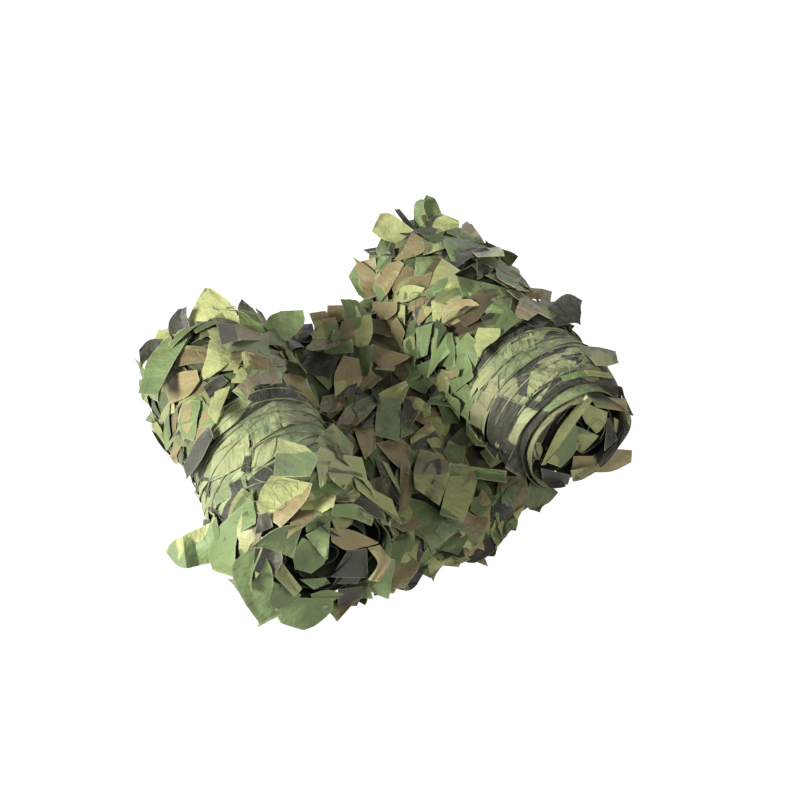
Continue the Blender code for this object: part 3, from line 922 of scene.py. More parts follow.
# %% A leaf's print
SHADES = {
    "mixed": (0.0, 0.0, 0.0),
    "lime": (-0.4, -0.4, -0.4),
    "lime_green": (0.0, -0.4, -0.4),
    "green_lime": (0.06, -0.4, -0.4),
    "green": (0.4, -0.4, -0.4),
    "green_dark": (0.3, -0.4, 0.12),
    "green_brown": (0.15, 0.08, -0.4),
    "khaki": (-0.2, 0.09, -0.4),
    "tan": (-0.1, 0.25, -0.4),
    "brown": (0.0, 0.4, -0.4),
    "tan_dark": (-0.1, 0.14, 0.14),
    "brown_dark": (0.0, 0.3, 0.2),
    "dark": (0.1, 0.0, 0.6),
}
CLOTH_SPAN = 30.0  # metres of printed cloth that the leaves are cut from

chance = random.Random(7)


def print_at_random(flat):
    """Cuts a leaf from another part of the printed cloth, at another angle."""
    turn = chance.uniform(0.0, math.tau)
    left, low = chance.uniform(0.0, CLOTH_SPAN), chance.uniform(0.0, CLOTH_SPAN)
    cosine, sine = math.cos(turn), math.sin(turn)
    cut_out = []
    for row in flat:
        cut_out.append([(left + x * cosine - y * sine, low + x * sine + y * cosine) for x, y in row])
    return cut_out


def shaded(shade, tone_and_shade):
    """Each point's lean towards the inks. A shade such as lime>green changes from root to tip, and
    lime|green from side to side, so that a printed patch's edge crosses the leaf."""
    names = shade.replace("|", ">").split(">")
    first, last = Vector(SHADES[names[0]]), Vector(SHADES[names[-1]])
    sideways = "|" in shade
    leans = []
    for i in range(LEAF_ROWS + 1):
        for j in range(LEAF_COLUMNS + 1):
            share = j / LEAF_COLUMNS if sideways else i / LEAF_ROWS
            leans.append((*first.lerp(last, share), tone_and_shade))
    return leans


# %% Laying a leaf
REACH_LOW = Vector((-0.411, -0.392, 0.0))
REACH_TOP = 0.265


def in_reach(point):
    """Slides a point that sticks out too far straight away from the camera, where it looks the same and lies
    lower."""
    past = ((REACH_LOW.x - point.x) / -view_back.x, (REACH_LOW.y - point.y) / -view_back.y)
    return point - view_back * max(*past, (point.z - REACH_TOP) / view_back.z, 0.0)


def lay_leaf(cloth, placed, shape, height, hug, shade, tone_and_shade):
    """Lays a leaf. Placed turns a step aside, a step ahead and a rise into two places: one where the leaf
    keeps straight on, and one where it follows the cloth. Hug is 1 for the second."""
    least = FLOOR_GAP + chance.uniform(0.0, 0.004)
    points, flat = leaf_points(shape)
    grid = []
    for row in points:
        laid = []
        for x, y, z in row:
            free, held = placed(x, y, z + height)
            laid.append(above_floor(in_reach(free.lerp(held, hug)), least))
        grid.append(laid)
    cloth.shell(grid, print_at_random(flat), LEAF_THICKNESS, shaded(shade, tone_and_shade))


def from_root(surface, place, forward):
    """Places a leaf's points by their steps along a surface from its root."""
    u, v = place
    root, normal = surface.place(u, v), surface.normal(u, v)
    along_u, along_v = surface.slopes(u, v)
    sideways = forward.cross(normal).normalized()
    upward = sideways.cross(forward)
    per_u, per_v = along_u / along_u.length_squared, along_v / along_v.length_squared

    def placed(x, y, rise):
        offset = sideways * x + forward * y
        held = surface.lifted(u + offset.dot(per_u), v + offset.dot(per_v), rise)
        return root + offset + upward * rise, held

    return placed


def heading(surface, place, turn):
    """A direction along a surface, by its angle from u towards v."""
    along_u, along_v = surface.slopes(*place)
    return (along_u.normalized() * math.cos(turn) + along_v.normalized() * math.sin(turn)).normalized()


# %% [markdown]
# ## Leaves all over
#
# The leaves that nobody would single out are scattered evenly, each with its own cut, bend and print. A
# particle system would place them, but couldn't shape each one. They start low, so that the leaves laid
# later lie on top.

# %% What chance may draw
# A cut or shade that stands twice is drawn twice as often
COMMON_CUTS = "tab square square house wedge corner corner slash slash fork flare".split()
COMMON_SHADES = {
    "left": "mixed lime lime_green lime_green green khaki khaki tan green_brown mixed".split(),
    "right": "mixed lime_green green green green_lime brown khaki tan green_brown green_dark".split(),
    "slack": "mixed green green green_dark green_brown brown khaki lime_green dark".split(),
}
# painted shade: the leaves on the stretch between the rolls are darker, as it lies in the rolls' shadow
SLACK_SHADE = 0.76
LAYERS = 5
LOWEST_LAYER = 0.001
LAYER_STEP = 0.0016
# painted shade between the leaves: the lowest layer is darkest and each layer up is lighter; within a layer
# the tone differs at random
DEEP_TONE_AND_SHADE = (0.28, 0.50)
LESS_SHADE_PER_LAYER = 0.14
LEAF_LENGTHS = (0.048, 0.078)
LEAF_WIDTHS = (0.038, 0.064)


def layered(k):
    """The kth scattered leaf's height over the cloth and how light it is: the deep ones are darker as painted
    shade, and each has a random tone.
    """
    layer = k % LAYERS
    return LOWEST_LAYER + LAYER_STEP * layer, chance.uniform(*DEEP_TONE_AND_SHADE) + LESS_SHADE_PER_LAYER * layer


def random_creases(count, most, length, width):
    """Sharp bends across a leaf, each at its own slant."""
    creases = []
    for _ in range(count):
        direction = chance.uniform(-0.4, math.pi + 0.4)
        place = (chance.uniform(-0.3, 0.3) * width, chance.uniform(0.25, 0.7) * length)
        creases.append((*place, direction, chance.uniform(-most, most)))
    return tuple(creases)


def random_shape(lengths=LEAF_LENGTHS, boldness=1.0):
    length, width = chance.uniform(*lengths), chance.uniform(*LEAF_WIDTHS)
    cut = CUTS[chance.choice(COMMON_CUTS)]
    return Shape(
        left=cut_side(cut.left, -1.0, cut.slant, length, width),
        right=cut_side(cut.right, 1.0, cut.slant, length, width),
        length=length,
        notch=cut.notch,
        lift=chance.uniform(0.0, 0.24) * boldness,
        bend=chance.uniform(-0.3, 0.2) * boldness,
        fold=chance.choice((0.0, chance.uniform(-0.8, 0.3))) * boldness,
        fold_row=chance.choice((2, 3, 4, 5)),
        creases=random_creases(2, 0.6 * boldness, length, width),
        curl=chance.uniform(-0.3, 0.3) * boldness,
        twist=chance.uniform(-0.35, 0.35) * boldness,
        ruffle=chance.uniform(0.0, 6.0),
    )


def scattered(wide, deep, spacing, tries=9000):
    """Places in a rectangle that keep their distance, in a random order."""
    places = []
    for _ in range(tries):
        place = (chance.uniform(*wide), chance.uniform(*deep))
        if all((place[0] - u) ** 2 + (place[1] - v) ** 2 > spacing * spacing for u, v in places):
            places.append(place)
    return places


# %% Leaves round a roll
SIDE_SPACING = 0.032
# Round a roll, from the stretch between to the floor
SIDE_ANGLES = (math.radians(-72.0), math.radians(256.0))
SIDE_MARGIN = 0.004
SIDE_BOLDNESS = 0.6
UNDER_BOLDNESS = 0.35  # where leaves are laid over them later
FACES_CAMERA = 0.2
LEAST_BARE = 0.3
MESHES_PER_ROLL = 3


def lies_bare(roll, u, v):
    return bare_share(roll, u / ROLL_RADIUS, v / ROLL_LENGTH) > LEAST_BARE


def scatter_on_roll(roll):
    """A roll's common leaves, shared out among a few meshes so that each bakes with fine detail."""
    meshes = [ClothMesh() for _ in range(MESHES_PER_ROLL)]
    surface = side_surfaces[roll.name]
    wide = tuple(angle * ROLL_RADIUS for angle in SIDE_ANGLES)
    deep = (SIDE_MARGIN, ROLL_LENGTH - SIDE_MARGIN)
    for k, place in enumerate(scattered(wide, deep, SIDE_SPACING)):
        if lies_bare(roll, *place):
            continue
        turn = chance.choice((0.0, math.pi)) + chance.uniform(-1.1, 1.1)
        forward = heading(surface, place, turn)
        covered = surface.normal(*place).dot(view_back) > FACES_CAMERA
        shape = random_shape(boldness=UNDER_BOLDNESS if covered else SIDE_BOLDNESS)
        tip = (place[0] + shape.length * math.cos(turn), place[1] + shape.length * math.sin(turn))
        if lies_bare(roll, *tip):
            forward = -forward
        height, tone_and_shade = layered(k)
        hug = chance.uniform(0.85, 1.0)
        shade = chance.choice(COMMON_SHADES[roll.name])
        placed = from_root(surface, place, forward)
        lay_leaf(meshes[k % len(meshes)], placed, shape, height, hug, shade, tone_and_shade)
    return meshes


# %% Leaves on the stretch
SLACK_SPACING = 0.032
SLACK_REACH = (0.13, 0.87)
EDGE_LEAVES = 20
EDGE_START = 0.26
EDGE_SPAN = 0.48
EDGE_INSETS = (0.004, 0.022, 0.040)
EDGE_LENGTHS = (0.048, 0.062)
EDGE_BOLDNESS = 0.7
EDGE_HEIGHT = 0.004
EDGE_HUG = 0.9


def scatter_on_slack():
    meshes = [ClothMesh() for _ in range(2)]
    wide = tuple(share * ROLL_SPACING for share in SLACK_REACH)
    for k, place in enumerate(scattered(wide, (0.0, ROLL_LENGTH), SLACK_SPACING)):
        forward = heading(slack_surface, place, chance.uniform(0.0, math.tau))
        height, tone_and_shade = layered(k)
        hug = chance.uniform(0.4, 1.0)
        shape = random_shape()
        shade = chance.choice(COMMON_SHADES["slack"])
        placed = from_root(slack_surface, place, forward)
        # darker on the stretch between the rolls: painted shade
        lay_leaf(meshes[k % len(meshes)], placed, shape, height, hug, shade, tone_and_shade * SLACK_SHADE)
    for edge, outwards in ((0.0, -math.pi / 2), (ROLL_LENGTH, math.pi / 2)):
        for k in range(EDGE_LEAVES):
            across = EDGE_START + EDGE_SPAN * (k + chance.uniform(0.2, 0.8)) / EDGE_LEAVES
            inside = chance.choice(EDGE_INSETS) * (1.0 if edge == 0.0 else -1.0)
            place = (across * ROLL_SPACING, edge + inside)
            forward = heading(slack_surface, place, outwards + chance.uniform(-0.7, 0.7))
            shape = random_shape(EDGE_LENGTHS, EDGE_BOLDNESS)
            shade = chance.choice(COMMON_SHADES["slack"])
            tone_and_shade = chance.uniform(0.8, 1.0)
            placed = from_root(slack_surface, place, forward)
            lay_leaf(meshes[k % len(meshes)], placed, shape, EDGE_HEIGHT, EDGE_HUG, shade, tone_and_shade)
    return meshes


# %% Leaves at the ends
END_SPACING = 0.042
END_CROWDING = 1.3
END_INSET = -0.012
END_LENGTHS = (0.032, 0.048)
END_STEP = 0.001
END_HUG = 0.5
END_TURNS = ((0.108, 1.0), (0.084, 0.9), (0.061, 0.8), (0.038, 0.7))  # radius and share of the leaves kept
END_SHARES = {("left", -1): 0.36, ("left", 1): 1.0, ("right", 1): 1.0}  # the right roll's front end lies bare


def scatter_on_end(roll, end):
    """The leaves along the edges of the turns. They lean out at the bottom and sag inwards at the top."""
    mesh = ClothMesh()
    for k, (radius, share) in enumerate(END_TURNS):
        surface = turn_surface(roll, end, radius)
        count = int(math.tau * radius / END_SPACING * END_CROWDING)
        for step in range(count):
            angle = math.tau * (step + chance.uniform(-0.3, 0.3)) / count
            place = (angle * radius, END_INSET + chance.uniform(-0.006, 0.004))
            shape = random_shape(END_LENGTHS)
            lean = chance.uniform(-0.3, 1.0) - 0.7 * math.sin(angle)
            shape = replace(shape, lift=0.1, bend=lean * 1.3)
            keep = chance.random() < share * END_SHARES[roll.name, end]
            forward = heading(surface, place, math.pi / 2 + chance.uniform(-0.5, 0.5))
            # a random tone, darker on each inner turn: painted shade inside the roll's end
            tone_and_shade = chance.uniform(0.8, 1.1) - 0.12 * k
            if keep:
                shade = chance.choice(COMMON_SHADES[roll.name])
                placed = from_root(surface, place, forward)
                lay_leaf(mesh, placed, shape, END_STEP * k, END_HUG, shade, tone_and_shade)
    return mesh


leaf_meshes = {}
for roll in ROLLS:
    for k, mesh in enumerate(scatter_on_roll(roll), 1):
        leaf_meshes[f"leaves_{roll.name}_{k}"] = mesh
    for end, end_name in ((-1, "front"), (1, "back")):
        if (roll.name, end) in END_SHARES:
            leaf_meshes[f"leaves_{roll.name}_{end_name}"] = scatter_on_end(roll, end)
for k, mesh in enumerate(scatter_on_slack(), 1):
    leaf_meshes[f"leaves_slack_{k}"] = mesh
print("common leaves:", sum(len(mesh.bake_corners) for mesh in leaf_meshes.values()))

# %% [markdown]
# ## The leaves on top
#
# The leaves that catch the eye are laid one by one. Each row of the table gives the corners down a leaf's
# left and right side, from root to tip, where they show in the camera's picture. A ray through the root
# finds the cloth there, so the leaf is rooted on it whatever side it is seen from. The corners then give its
# direction and its true outline, flat on the cloth.

# %% From a pixel to a place on the cloth
PIXELS_PER_METRE = PICTURE_REACH / CAMERA_DISTANCE
SCAN_STEP = 0.008
SLACK_SCAN_MARGIN = 0.05
SEARCH_STEP = 1.5  # pixels
SEARCH_RINGS = 40
SEARCH_TURNS = 24


def scanned(surface, wide, deep, inside=lambda u, v: True):
    """A surface as a mesh of small cells for a ray to hit, with the middle of each cell in u and v."""
    columns = math.ceil((wide[1] - wide[0]) / SCAN_STEP)
    rows = math.ceil((deep[1] - deep[0]) / SCAN_STEP)
    along_v = [deep[0] + j * SCAN_STEP for j in range(rows + 1)]
    measures = [[(wide[0] + i * SCAN_STEP, v) for v in along_v] for i in range(columns + 1)]
    points = [surface.place(u, v) for column in measures for u, v in column]
    faces, middles = [], []
    for i in range(columns):
        for j in range(rows):
            u, v = measures[i][j]
            if inside(u, v):
                corner = i * (rows + 1) + j
                faces.append((corner, corner + 1, corner + rows + 2, corner + rows + 1))
                middles.append((u + SCAN_STEP / 2, v + SCAN_STEP / 2))
    return surface, BVHTree.FromPolygons(points, faces), middles


def in_end(u, v):
    return math.hypot(u, v) < ROLL_RADIUS - RIM_DROOP / 2


FULL_LENGTH = (0.0, ROLL_LENGTH)
FULL_TURN = (0.0, math.tau * ROLL_RADIUS)
FULL_WIDTH = (-ROLL_RADIUS, ROLL_RADIUS)
BETWEEN_ROLLS = (SLACK_SCAN_MARGIN, ROLL_SPACING - SLACK_SCAN_MARGIN)
targets = [scanned(slack_surface, BETWEEN_ROLLS, FULL_LENGTH)]
for roll in ROLLS:
    targets.append(scanned(side_surfaces[roll.name], FULL_TURN, FULL_LENGTH))
    targets.append(scanned(end_surface(roll, -1), FULL_WIDTH, FULL_WIDTH, in_end))


# %% What shows at a pixel
def cloth_at(across, down):
    """The scanned surface that shows at a pixel, with the place on it. A pixel beside the cloth takes the
    nearest one that shows some."""
    for ring in range(SEARCH_RINGS):
        for k in range(SEARCH_TURNS if ring else 1):
            turn = math.tau * k / SEARCH_TURNS
            off = (SEARCH_STEP * ring * math.cos(turn), SEARCH_STEP * ring * math.sin(turn))
            direction = picture_ray(across + off[0], down + off[1])
            best = None
            for target in targets:
                hit, _, index, distance = target[1].ray_cast(camera_place, direction)
                if hit is not None and (best is None or distance < best[0]):
                    best = (distance, target, target[2][index])
            if best:
                return best[1:]
    raise ValueError(f"no cloth near {across}, {down}")


def seen_place(target, point):
    """The place on a scanned surface at the same pixel as a point, or None where it isn't seen."""
    surface, tree, middles = target
    hit, _, index, _ = tree.ray_cast(camera_place, (point - camera_place).normalized())
    if hit is None:
        return None
    u, v = middles[index]
    along_u, along_v = surface.slopes(u, v)
    off = hit - surface.place(u, v)
    place = (u + off.dot(along_u) / along_u.length_squared, v + off.dot(along_v) / along_v.length_squared)
    return place if surface.normal(*place).dot(view_back) > 0.0 else None


def in_two(target, first, second):
    """How much of two directions in the picture adds up to a third."""
    spread = first.cross(second)
    return target.cross(second) / spread, first.cross(target) / spread


def shows_as(place, direction, small=0.01):
    """How far a metre in a direction shows in the picture, in pixels, as measured over a small step."""
    return (picture_place(place + direction * small) - picture_place(place)) / small


def reach_to(surface, place, picture_step):
    """The step along a surface that shows as a step in the picture."""
    here = surface.place(*place)
    along_u, along_v = surface.slopes(*place)
    across, down = shows_as(here, along_u), shows_as(here, along_v)
    if abs(across.cross(down)) < 1.0:
        return along_u * 0.0
    u_share, v_share = in_two(picture_step, across, down)
    return along_u * u_share + along_v * v_share


# %% The leaves that show
# Left side and right side from root to tip (pixels across and down in turn), shade, how far it stands off
# the cloth towards the picture's own plane (0 to 1), height over the cloth (mm)
SHOWN_LEAVES = (
    # left roll, behind the band
    ((186, 325, 195, 303, 205, 287), (242, 324, 231, 303, 211, 288), "tan|lime", 0.8, 10),
    ((213, 320, 230, 309), (243, 324, 235, 310), "lime", 0.5, 14),
    ((241, 327, 239, 308, 243, 299), (266, 335, 260, 317, 254, 308), "green>dark", 0.5, 9),
    ((266, 335, 255, 307), (273, 332, 262, 312), "brown", 0.5, 10),
    ((168, 341, 169, 323, 178, 309), (188, 327, 187, 316, 187, 307), "dark", 1.0, 2),
    ((163, 338, 150, 340, 139, 351), (156, 353, 148, 360, 141, 370), "dark", 0.9, 1),
    ((170, 329, 148, 360, 140, 393), (189, 335, 175, 364, 154, 402), "green", 0.3, 9),
    ((175, 402, 152, 406), (176, 412, 155, 423), "lime", 0.1, 7),
    ((262, 327, 239, 325, 217, 324), (262, 341, 241, 342, 216, 346), "brown>dark", 0.0, 7),
    ((272, 359, 248, 351, 230, 353), (268, 342, 253, 337, 237, 339), "green", 0.0, 8),
    ((222, 375, 203, 388), (229, 381, 211, 399), "dark", 0.0, 8),
    ((269, 358, 241, 351, 201, 374), (283, 373, 253, 369, 198, 383), "brown>lime", 0.0, 10),
    ((211, 341, 206, 360, 197, 380), (236, 341, 231, 361, 213, 374), "lime", 0.0, 11),
    ((283, 372, 255, 375, 228, 393), (283, 383, 257, 386, 223, 412), "khaki", 0.0, 9),
    ((213, 393, 209, 412), (231, 386, 220, 423), "lime", 0.0, 9),
    ((198, 370, 177, 374, 163, 389), (201, 381, 189, 396, 169, 404), "brown", 0.15, 14),
    ((184, 402, 178, 422), (201, 407, 206, 419), "brown", 0.1, 12),
    ((177, 414, 155, 427), (181, 430, 164, 453), "green", 0.1, 8),
    ((194, 430, 175, 456), (213, 423, 181, 466), "khaki", 0.0, 7),
    ((180, 426, 171, 445, 167, 459), (195, 422, 185, 440, 171, 462), "brown", 0.1, 10),
    ((172, 452, 163, 459), (177, 468, 169, 475), "brown", 0.1, 3),
    ((293, 376, 276, 355, 264, 337), (309, 383, 290, 357, 272, 337), "brown>green", 0.2, 9),
    ((281, 374, 295, 393), (305, 374, 319, 409), "brown", 0.1, 8),
    ((211, 425, 195, 443, 181, 467), (215, 436, 202, 460, 187, 479), "dark", 0.0, 13),
    # left roll, in front of the band
    ((272, 475, 261, 492, 262, 511), (314, 482, 307, 499, 281, 526), "lime|brown", 0.1, 10),
    ((253, 488, 245, 503, 219, 526, 204, 553, 209, 573),
     (255, 503, 257, 522, 238, 534, 234, 560, 230, 577), "green", 0.25, 9),
    ((279, 438, 277, 456, 276, 476), (307, 446, 319, 459, 312, 476), "lime>green", 0.1, 14),
    ((314, 452, 338, 454, 362, 458), (319, 471, 342, 475, 367, 479), "lime", 0.1, 12),
    ((313, 453, 319, 471, 322, 485), (326, 456, 329, 471, 327, 482), "lime", 0.1, 13),
    ((328, 471, 341, 487), (355, 474, 345, 489), "lime", 0.1, 15),
    ((259, 515, 256, 534), (269, 511, 274, 526), "dark", 0.1, 13),
    ((303, 522, 276, 527, 248, 548), (293, 557, 279, 551, 257, 544), "green", 0.3, 13),
    ((197, 523, 174, 538, 154, 554), (202, 564, 178, 568, 155, 556), "green>lime_green", 0.5, 2),
    ((194, 520, 201, 548), (206, 520, 207, 553), "dark", 0.3, 5),
    ((210, 511, 213, 534), (216, 513, 221, 532), "lime>dark", 0.3, 9),
    ((347, 478, 333, 494, 316, 504), (366, 482, 349, 501, 331, 508), "brown", 0.1, 9),
    ((357, 480, 392, 499), (361, 491, 400, 525), "lime", 0.2, 14),
    ((333, 504, 357, 504, 375, 518), (331, 515, 352, 518, 372, 526), "green", 0.3, 12),
    ((335, 507, 306, 518), (340, 517, 306, 533), "green", 0.2, 12),
    ((379, 508, 397, 551), (385, 508, 400, 534), "brown", 0.3, 11),
    ((378, 520, 390, 527), (384, 511, 391, 524), "lime", 0.3, 13),
    # left roll's front end
    ((253, 547, 235, 561, 234, 577, 246, 607, 260, 632),
     (262, 548, 272, 567, 274, 584, 269, 605, 281, 619), "green", 0.85, 14),
    ((276, 596, 276, 610, 281, 622), (333, 598, 331, 612, 308, 632), "green", 0.9, 12),
    ((300, 598, 331, 605), (300, 612, 316, 617), "green", 0.8, 8),
    ((338, 589, 338, 606), (366, 586, 357, 606), "dark", 0.8, 2),
    ((256, 547, 255, 567, 259, 586), (281, 545, 283, 561, 266, 587), "dark", 0.8, 17),
    ((283, 560, 303, 589), (272, 572, 295, 597), "lime", 0.7, 22),
    ((269, 577, 262, 586, 256, 593), (302, 594, 293, 603, 279, 610), "green", 0.8, 20),
    ((281, 610, 299, 600), (286, 611, 299, 613), "lime_green", 0.8, 14),
    ((303, 537, 294, 553, 295, 568), (319, 544, 326, 560, 312, 573), "green", 0.6, 12),
    ((306, 534, 326, 559), (331, 521, 329, 560), "green", 0.5, 18),
    ((331, 527, 354, 530, 379, 543), (332, 541, 347, 550, 366, 547), "brown", 0.5, 14),
    ((347, 551, 331, 577), (367, 548, 368, 579), "dark", 0.7, 4),
    ((342, 567, 333, 584), (364, 572, 357, 584), "dark", 0.7, 9),
    ((368, 547, 378, 563, 368, 579), (380, 544, 391, 560, 380, 581), "khaki", 0.6, 16),
    ((385, 559, 377, 577, 369, 589), (408, 553, 419, 565, 405, 587), "brown", 0.8, 6),
    ((300, 579, 314, 589), (326, 577, 331, 584), "green_dark", 0.6, 9),
    ((311, 593, 328, 589, 344, 594), (313, 600, 328, 603, 340, 598), "lime_green", 0.7, 12),
    # between the rolls
    ((271, 334, 268, 319, 281, 311), (294, 333, 305, 324, 304, 310), "green", 0.8, 12),
    ((307, 319, 308, 312), (327, 319, 326, 311), "brown", 0.8, 8),
    ((322, 312, 327, 304), (360, 314, 357, 307), "khaki", 0.8, 9),
    ((340, 310, 342, 302), (365, 310, 357, 301), "green_dark", 0.8, 7),
    ((311, 344, 314, 332, 314, 321), (338, 340, 339, 328, 335, 317), "lime|brown", 0.6, 12),
    ((340, 338, 340, 329, 342, 322), (366, 351, 373, 333, 371, 316), "brown|lime", 0.6, 14),
    ((305, 358, 310, 345), (354, 352, 353, 342), "lime|green", 0.5, 14),
    ((283, 344, 281, 331, 287, 324), (314, 342, 314, 331, 312, 323), "dark", 0.5, 4),
    ((293, 341, 294, 333), (312, 340, 312, 330), "green_brown", 0.5, 9),
    ((367, 365, 396, 367), (369, 369, 394, 371), "lime_green", 0.1, 6),
    ((344, 356, 335, 376, 336, 401), (364, 360, 362, 376, 361, 394), "khaki", 0.3, 16),
    ((348, 395, 343, 412), (356, 395, 355, 411), "lime_green", 0.1, 9),
    ((355, 395, 356, 411), (374, 399, 371, 419), "dark", 0.0, 8),
    ((320, 404, 330, 419), (339, 395, 342, 411), "brown", 0.1, 6),
    ((353, 426, 365, 458), (374, 420, 376, 447), "brown", 0.0, 6),
    ((346, 411, 346, 422), (367, 415, 356, 426), "green_brown", 0.0, 5),
    ((403, 397, 417, 397, 432, 406), (403, 415, 417, 418, 431, 415), "brown>green", 0.2, 12),
    ((371, 399, 385, 390, 407, 380), (385, 404, 401, 404, 410, 387), "brown>lime", 0.3, 15),
    ((379, 397, 376, 419, 376, 433), (401, 397, 400, 419, 399, 439), "green", 0.3, 18),
    ((400, 417, 401, 438), (403, 417, 414, 432), "lime_green", 0.2, 10),
    ((376, 443, 392, 461, 409, 474), (401, 438, 408, 445, 412, 461), "brown", 0.1, 8),
    ((410, 438, 430, 420), (412, 453, 442, 442), "brown|dark", 0.1, 11),
    ((374, 456, 385, 485, 398, 504), (383, 461, 392, 479, 400, 495), "green_dark", 0.1, 8),
    ((382, 461, 391, 478, 401, 494), (388, 463, 398, 483, 401, 492), "lime", 0.1, 12),
    ((449, 462, 478, 467, 506, 470), (449, 472, 478, 478, 506, 482), "green", 0.2, 8),
    ((420, 449, 414, 469, 415, 486), (442, 454, 449, 469, 439, 501), "brown>lime", 0.2, 13),
    ((426, 461, 422, 476, 424, 484), (440, 457, 441, 469, 436, 483), "dark", 0.2, 15),
    ((449, 476, 444, 495, 440, 513), (478, 474, 473, 494, 463, 520), "lime>green_lime", 0.3, 14),
    ((408, 497, 406, 526, 437, 545), (426, 502, 448, 517, 460, 528), "green", 0.2, 8),
    ((453, 524, 428, 547), (470, 535, 458, 553), "green", 0.3, 6),
    ((471, 497, 469, 510), (499, 495, 480, 517), "green_lime", 0.3, 6),
    ((501, 488, 501, 504), (524, 492, 523, 495), "lime_green", 0.3, 4),
    ((501, 507, 505, 520), (526, 507, 514, 526), "lime", 0.6, 3),
    # right roll, behind the band
    ((406, 216, 414, 207, 421, 200), (425, 218, 424, 209, 425, 201), "green", 0.9, 6),
    ((425, 218, 423, 205, 426, 194), (443, 217, 439, 207, 435, 198), "green", 0.9, 8),
    ((415, 218, 439, 215, 459, 222), (417, 231, 439, 234, 459, 228), "green_dark", 0.5, 15),
    ((462, 238, 461, 225, 466, 214), (485, 240, 476, 228, 472, 218), "green>khaki", 0.6, 9),
    ((397, 234, 383, 240, 371, 232), (405, 218, 391, 215, 379, 214), "khaki", 0.9, 6),
    ((396, 218, 395, 211), (404, 217, 400, 210), "dark", 0.9, 4),
    ((405, 219, 389, 225), (405, 228, 391, 233), "dark", 0.4, 10),
    ((383, 241, 361, 249), (384, 253, 370, 255), "dark", 0.4, 6),
    ((419, 239, 425, 231), (435, 239, 432, 232), "green_lime", 0.2, 9),
    ((412, 232, 405, 246, 394, 258), (423, 241, 423, 253, 405, 258), "brown", 0.1, 12),
    ((441, 236, 445, 248, 451, 261), (474, 242, 470, 253, 463, 265), "green", 0.0, 10),
    ((424, 240, 423, 256), (441, 237, 445, 249), "lime", 0.0, 11),
    ((471, 248, 476, 259), (502, 244, 508, 261), "khaki", 0.0, 9),
    ((416, 258, 414, 280), (443, 256, 429, 283), "green", 0.0, 7),
    # a dark leaf where this place lies in shadow under the threads: painted shade
    ((476, 260, 478, 278), (498, 259, 490, 274), "dark", 0.0, 5),
    ((442, 259, 433, 274, 425, 293), (460, 271, 449, 278, 433, 283), "lime", 0.0, 12),
    ((510, 290, 486, 282, 459, 274), (514, 296, 492, 302, 467, 299), "green", 0.0, 9),
    ((494, 272, 496, 282, 512, 292), (512, 265, 519, 270, 519, 280), "green", 0.0, 12),
    ((521, 272, 514, 293), (528, 282, 528, 293), "brown", 0.0, 10),
    ((438, 281, 425, 293, 430, 300), (455, 276, 461, 286, 466, 299), "green|lime", 0.0, 15),
    ((399, 261, 384, 266, 374, 284), (404, 264, 397, 278, 387, 294), "brown", 0.2, 12),
    ((386, 278, 373, 288), (389, 292, 380, 303), "green", 0.2, 11),
    ((425, 289, 409, 286, 389, 292), (419, 296, 407, 302, 385, 304), "lime", 0.1, 16),
    ((367, 258, 357, 264, 348, 277), (372, 296, 366, 300, 358, 296), "brown>green", 0.8, 4),
    ((382, 269, 370, 271), (383, 277, 374, 278), "lime", 0.3, 8),
    ((374, 302, 373, 310, 380, 321), (397, 303, 396, 314, 388, 321), "brown", 0.2, 11),
    ((398, 304, 399, 335), (405, 306, 405, 331), "khaki", 0.2, 10),
    ((425, 299, 412, 315), (435, 308, 419, 325), "khaki", 0.1, 9),
    ((431, 302, 433, 321), (449, 300, 439, 321), "lime", 0.1, 12),
    ((451, 300, 442, 313, 442, 323), (471, 300, 479, 308, 463, 332), "brown", 0.0, 14),
    ((512, 297, 492, 304, 479, 321), (510, 309, 494, 317, 480, 327), "green>brown", 0.0, 11),
    ((520, 294, 514, 312, 516, 325), (530, 302, 538, 311, 526, 321), "brown", 0.0, 12),
    ((467, 333, 451, 353, 446, 371), (478, 343, 477, 363, 467, 380), "green", 0.1, 10),
    ((478, 328, 474, 343, 478, 359), (500, 329, 498, 338, 484, 349), "lime", 0.0, 11),
    ((403, 341, 405, 364), (414, 333, 416, 357), "lime_green", 0.3, 14),
    ((416, 329, 417, 359), (432, 324, 427, 355), "green", 0.3, 15),
    ((437, 312, 433, 347, 427, 379), (447, 333, 459, 341, 439, 363), "green", 0.2, 12),
    ((413, 367, 423, 379), (433, 359, 435, 371), "green", 0.2, 9),
    ((445, 373, 445, 381), (459, 369, 457, 377), "khaki", 0.1, 8),
    ((440, 386, 441, 399, 467, 420), (463, 383, 478, 391, 469, 416), "green_dark", 0.0, 4),
    ((556, 298, 565, 294, 583, 300), (565, 315, 575, 323, 582, 325), "dark", 1.0, 6),
    ((533, 303, 557, 302), (538, 314, 564, 314), "green", 0.2, 10),
    ((529, 279, 555, 296), (530, 292, 548, 304), "brown", 0.1, 8),
    # right roll's front end
    ((580, 346, 601, 347, 617, 351), (595, 366, 607, 366, 618, 363), "green_lime", 0.5, 5),
    ((557, 375, 585, 370, 616, 373), (561, 380, 587, 376, 615, 378), "green>lime", 0.3, 5),
    ((540, 465, 557, 430, 584, 397), (545, 464, 565, 436, 591, 401), "lime", 0.3, 14),
    ((573, 420, 556, 450, 546, 462), (577, 430, 575, 452, 561, 468), "green_lime", 0.3, 10),
    ((587, 404, 581, 416, 595, 434), (607, 412, 605, 424, 599, 432), "lime", 0.4, 6),
    ((577, 426, 576, 451), (599, 436, 583, 454), "lime_green", 0.4, 4),
    ((589, 395, 625, 399), (595, 407, 627, 412), "green>brown", 0.5, 8),
    ((625, 385, 627, 414), (627, 385, 634, 415), "dark", 0.7, 6),
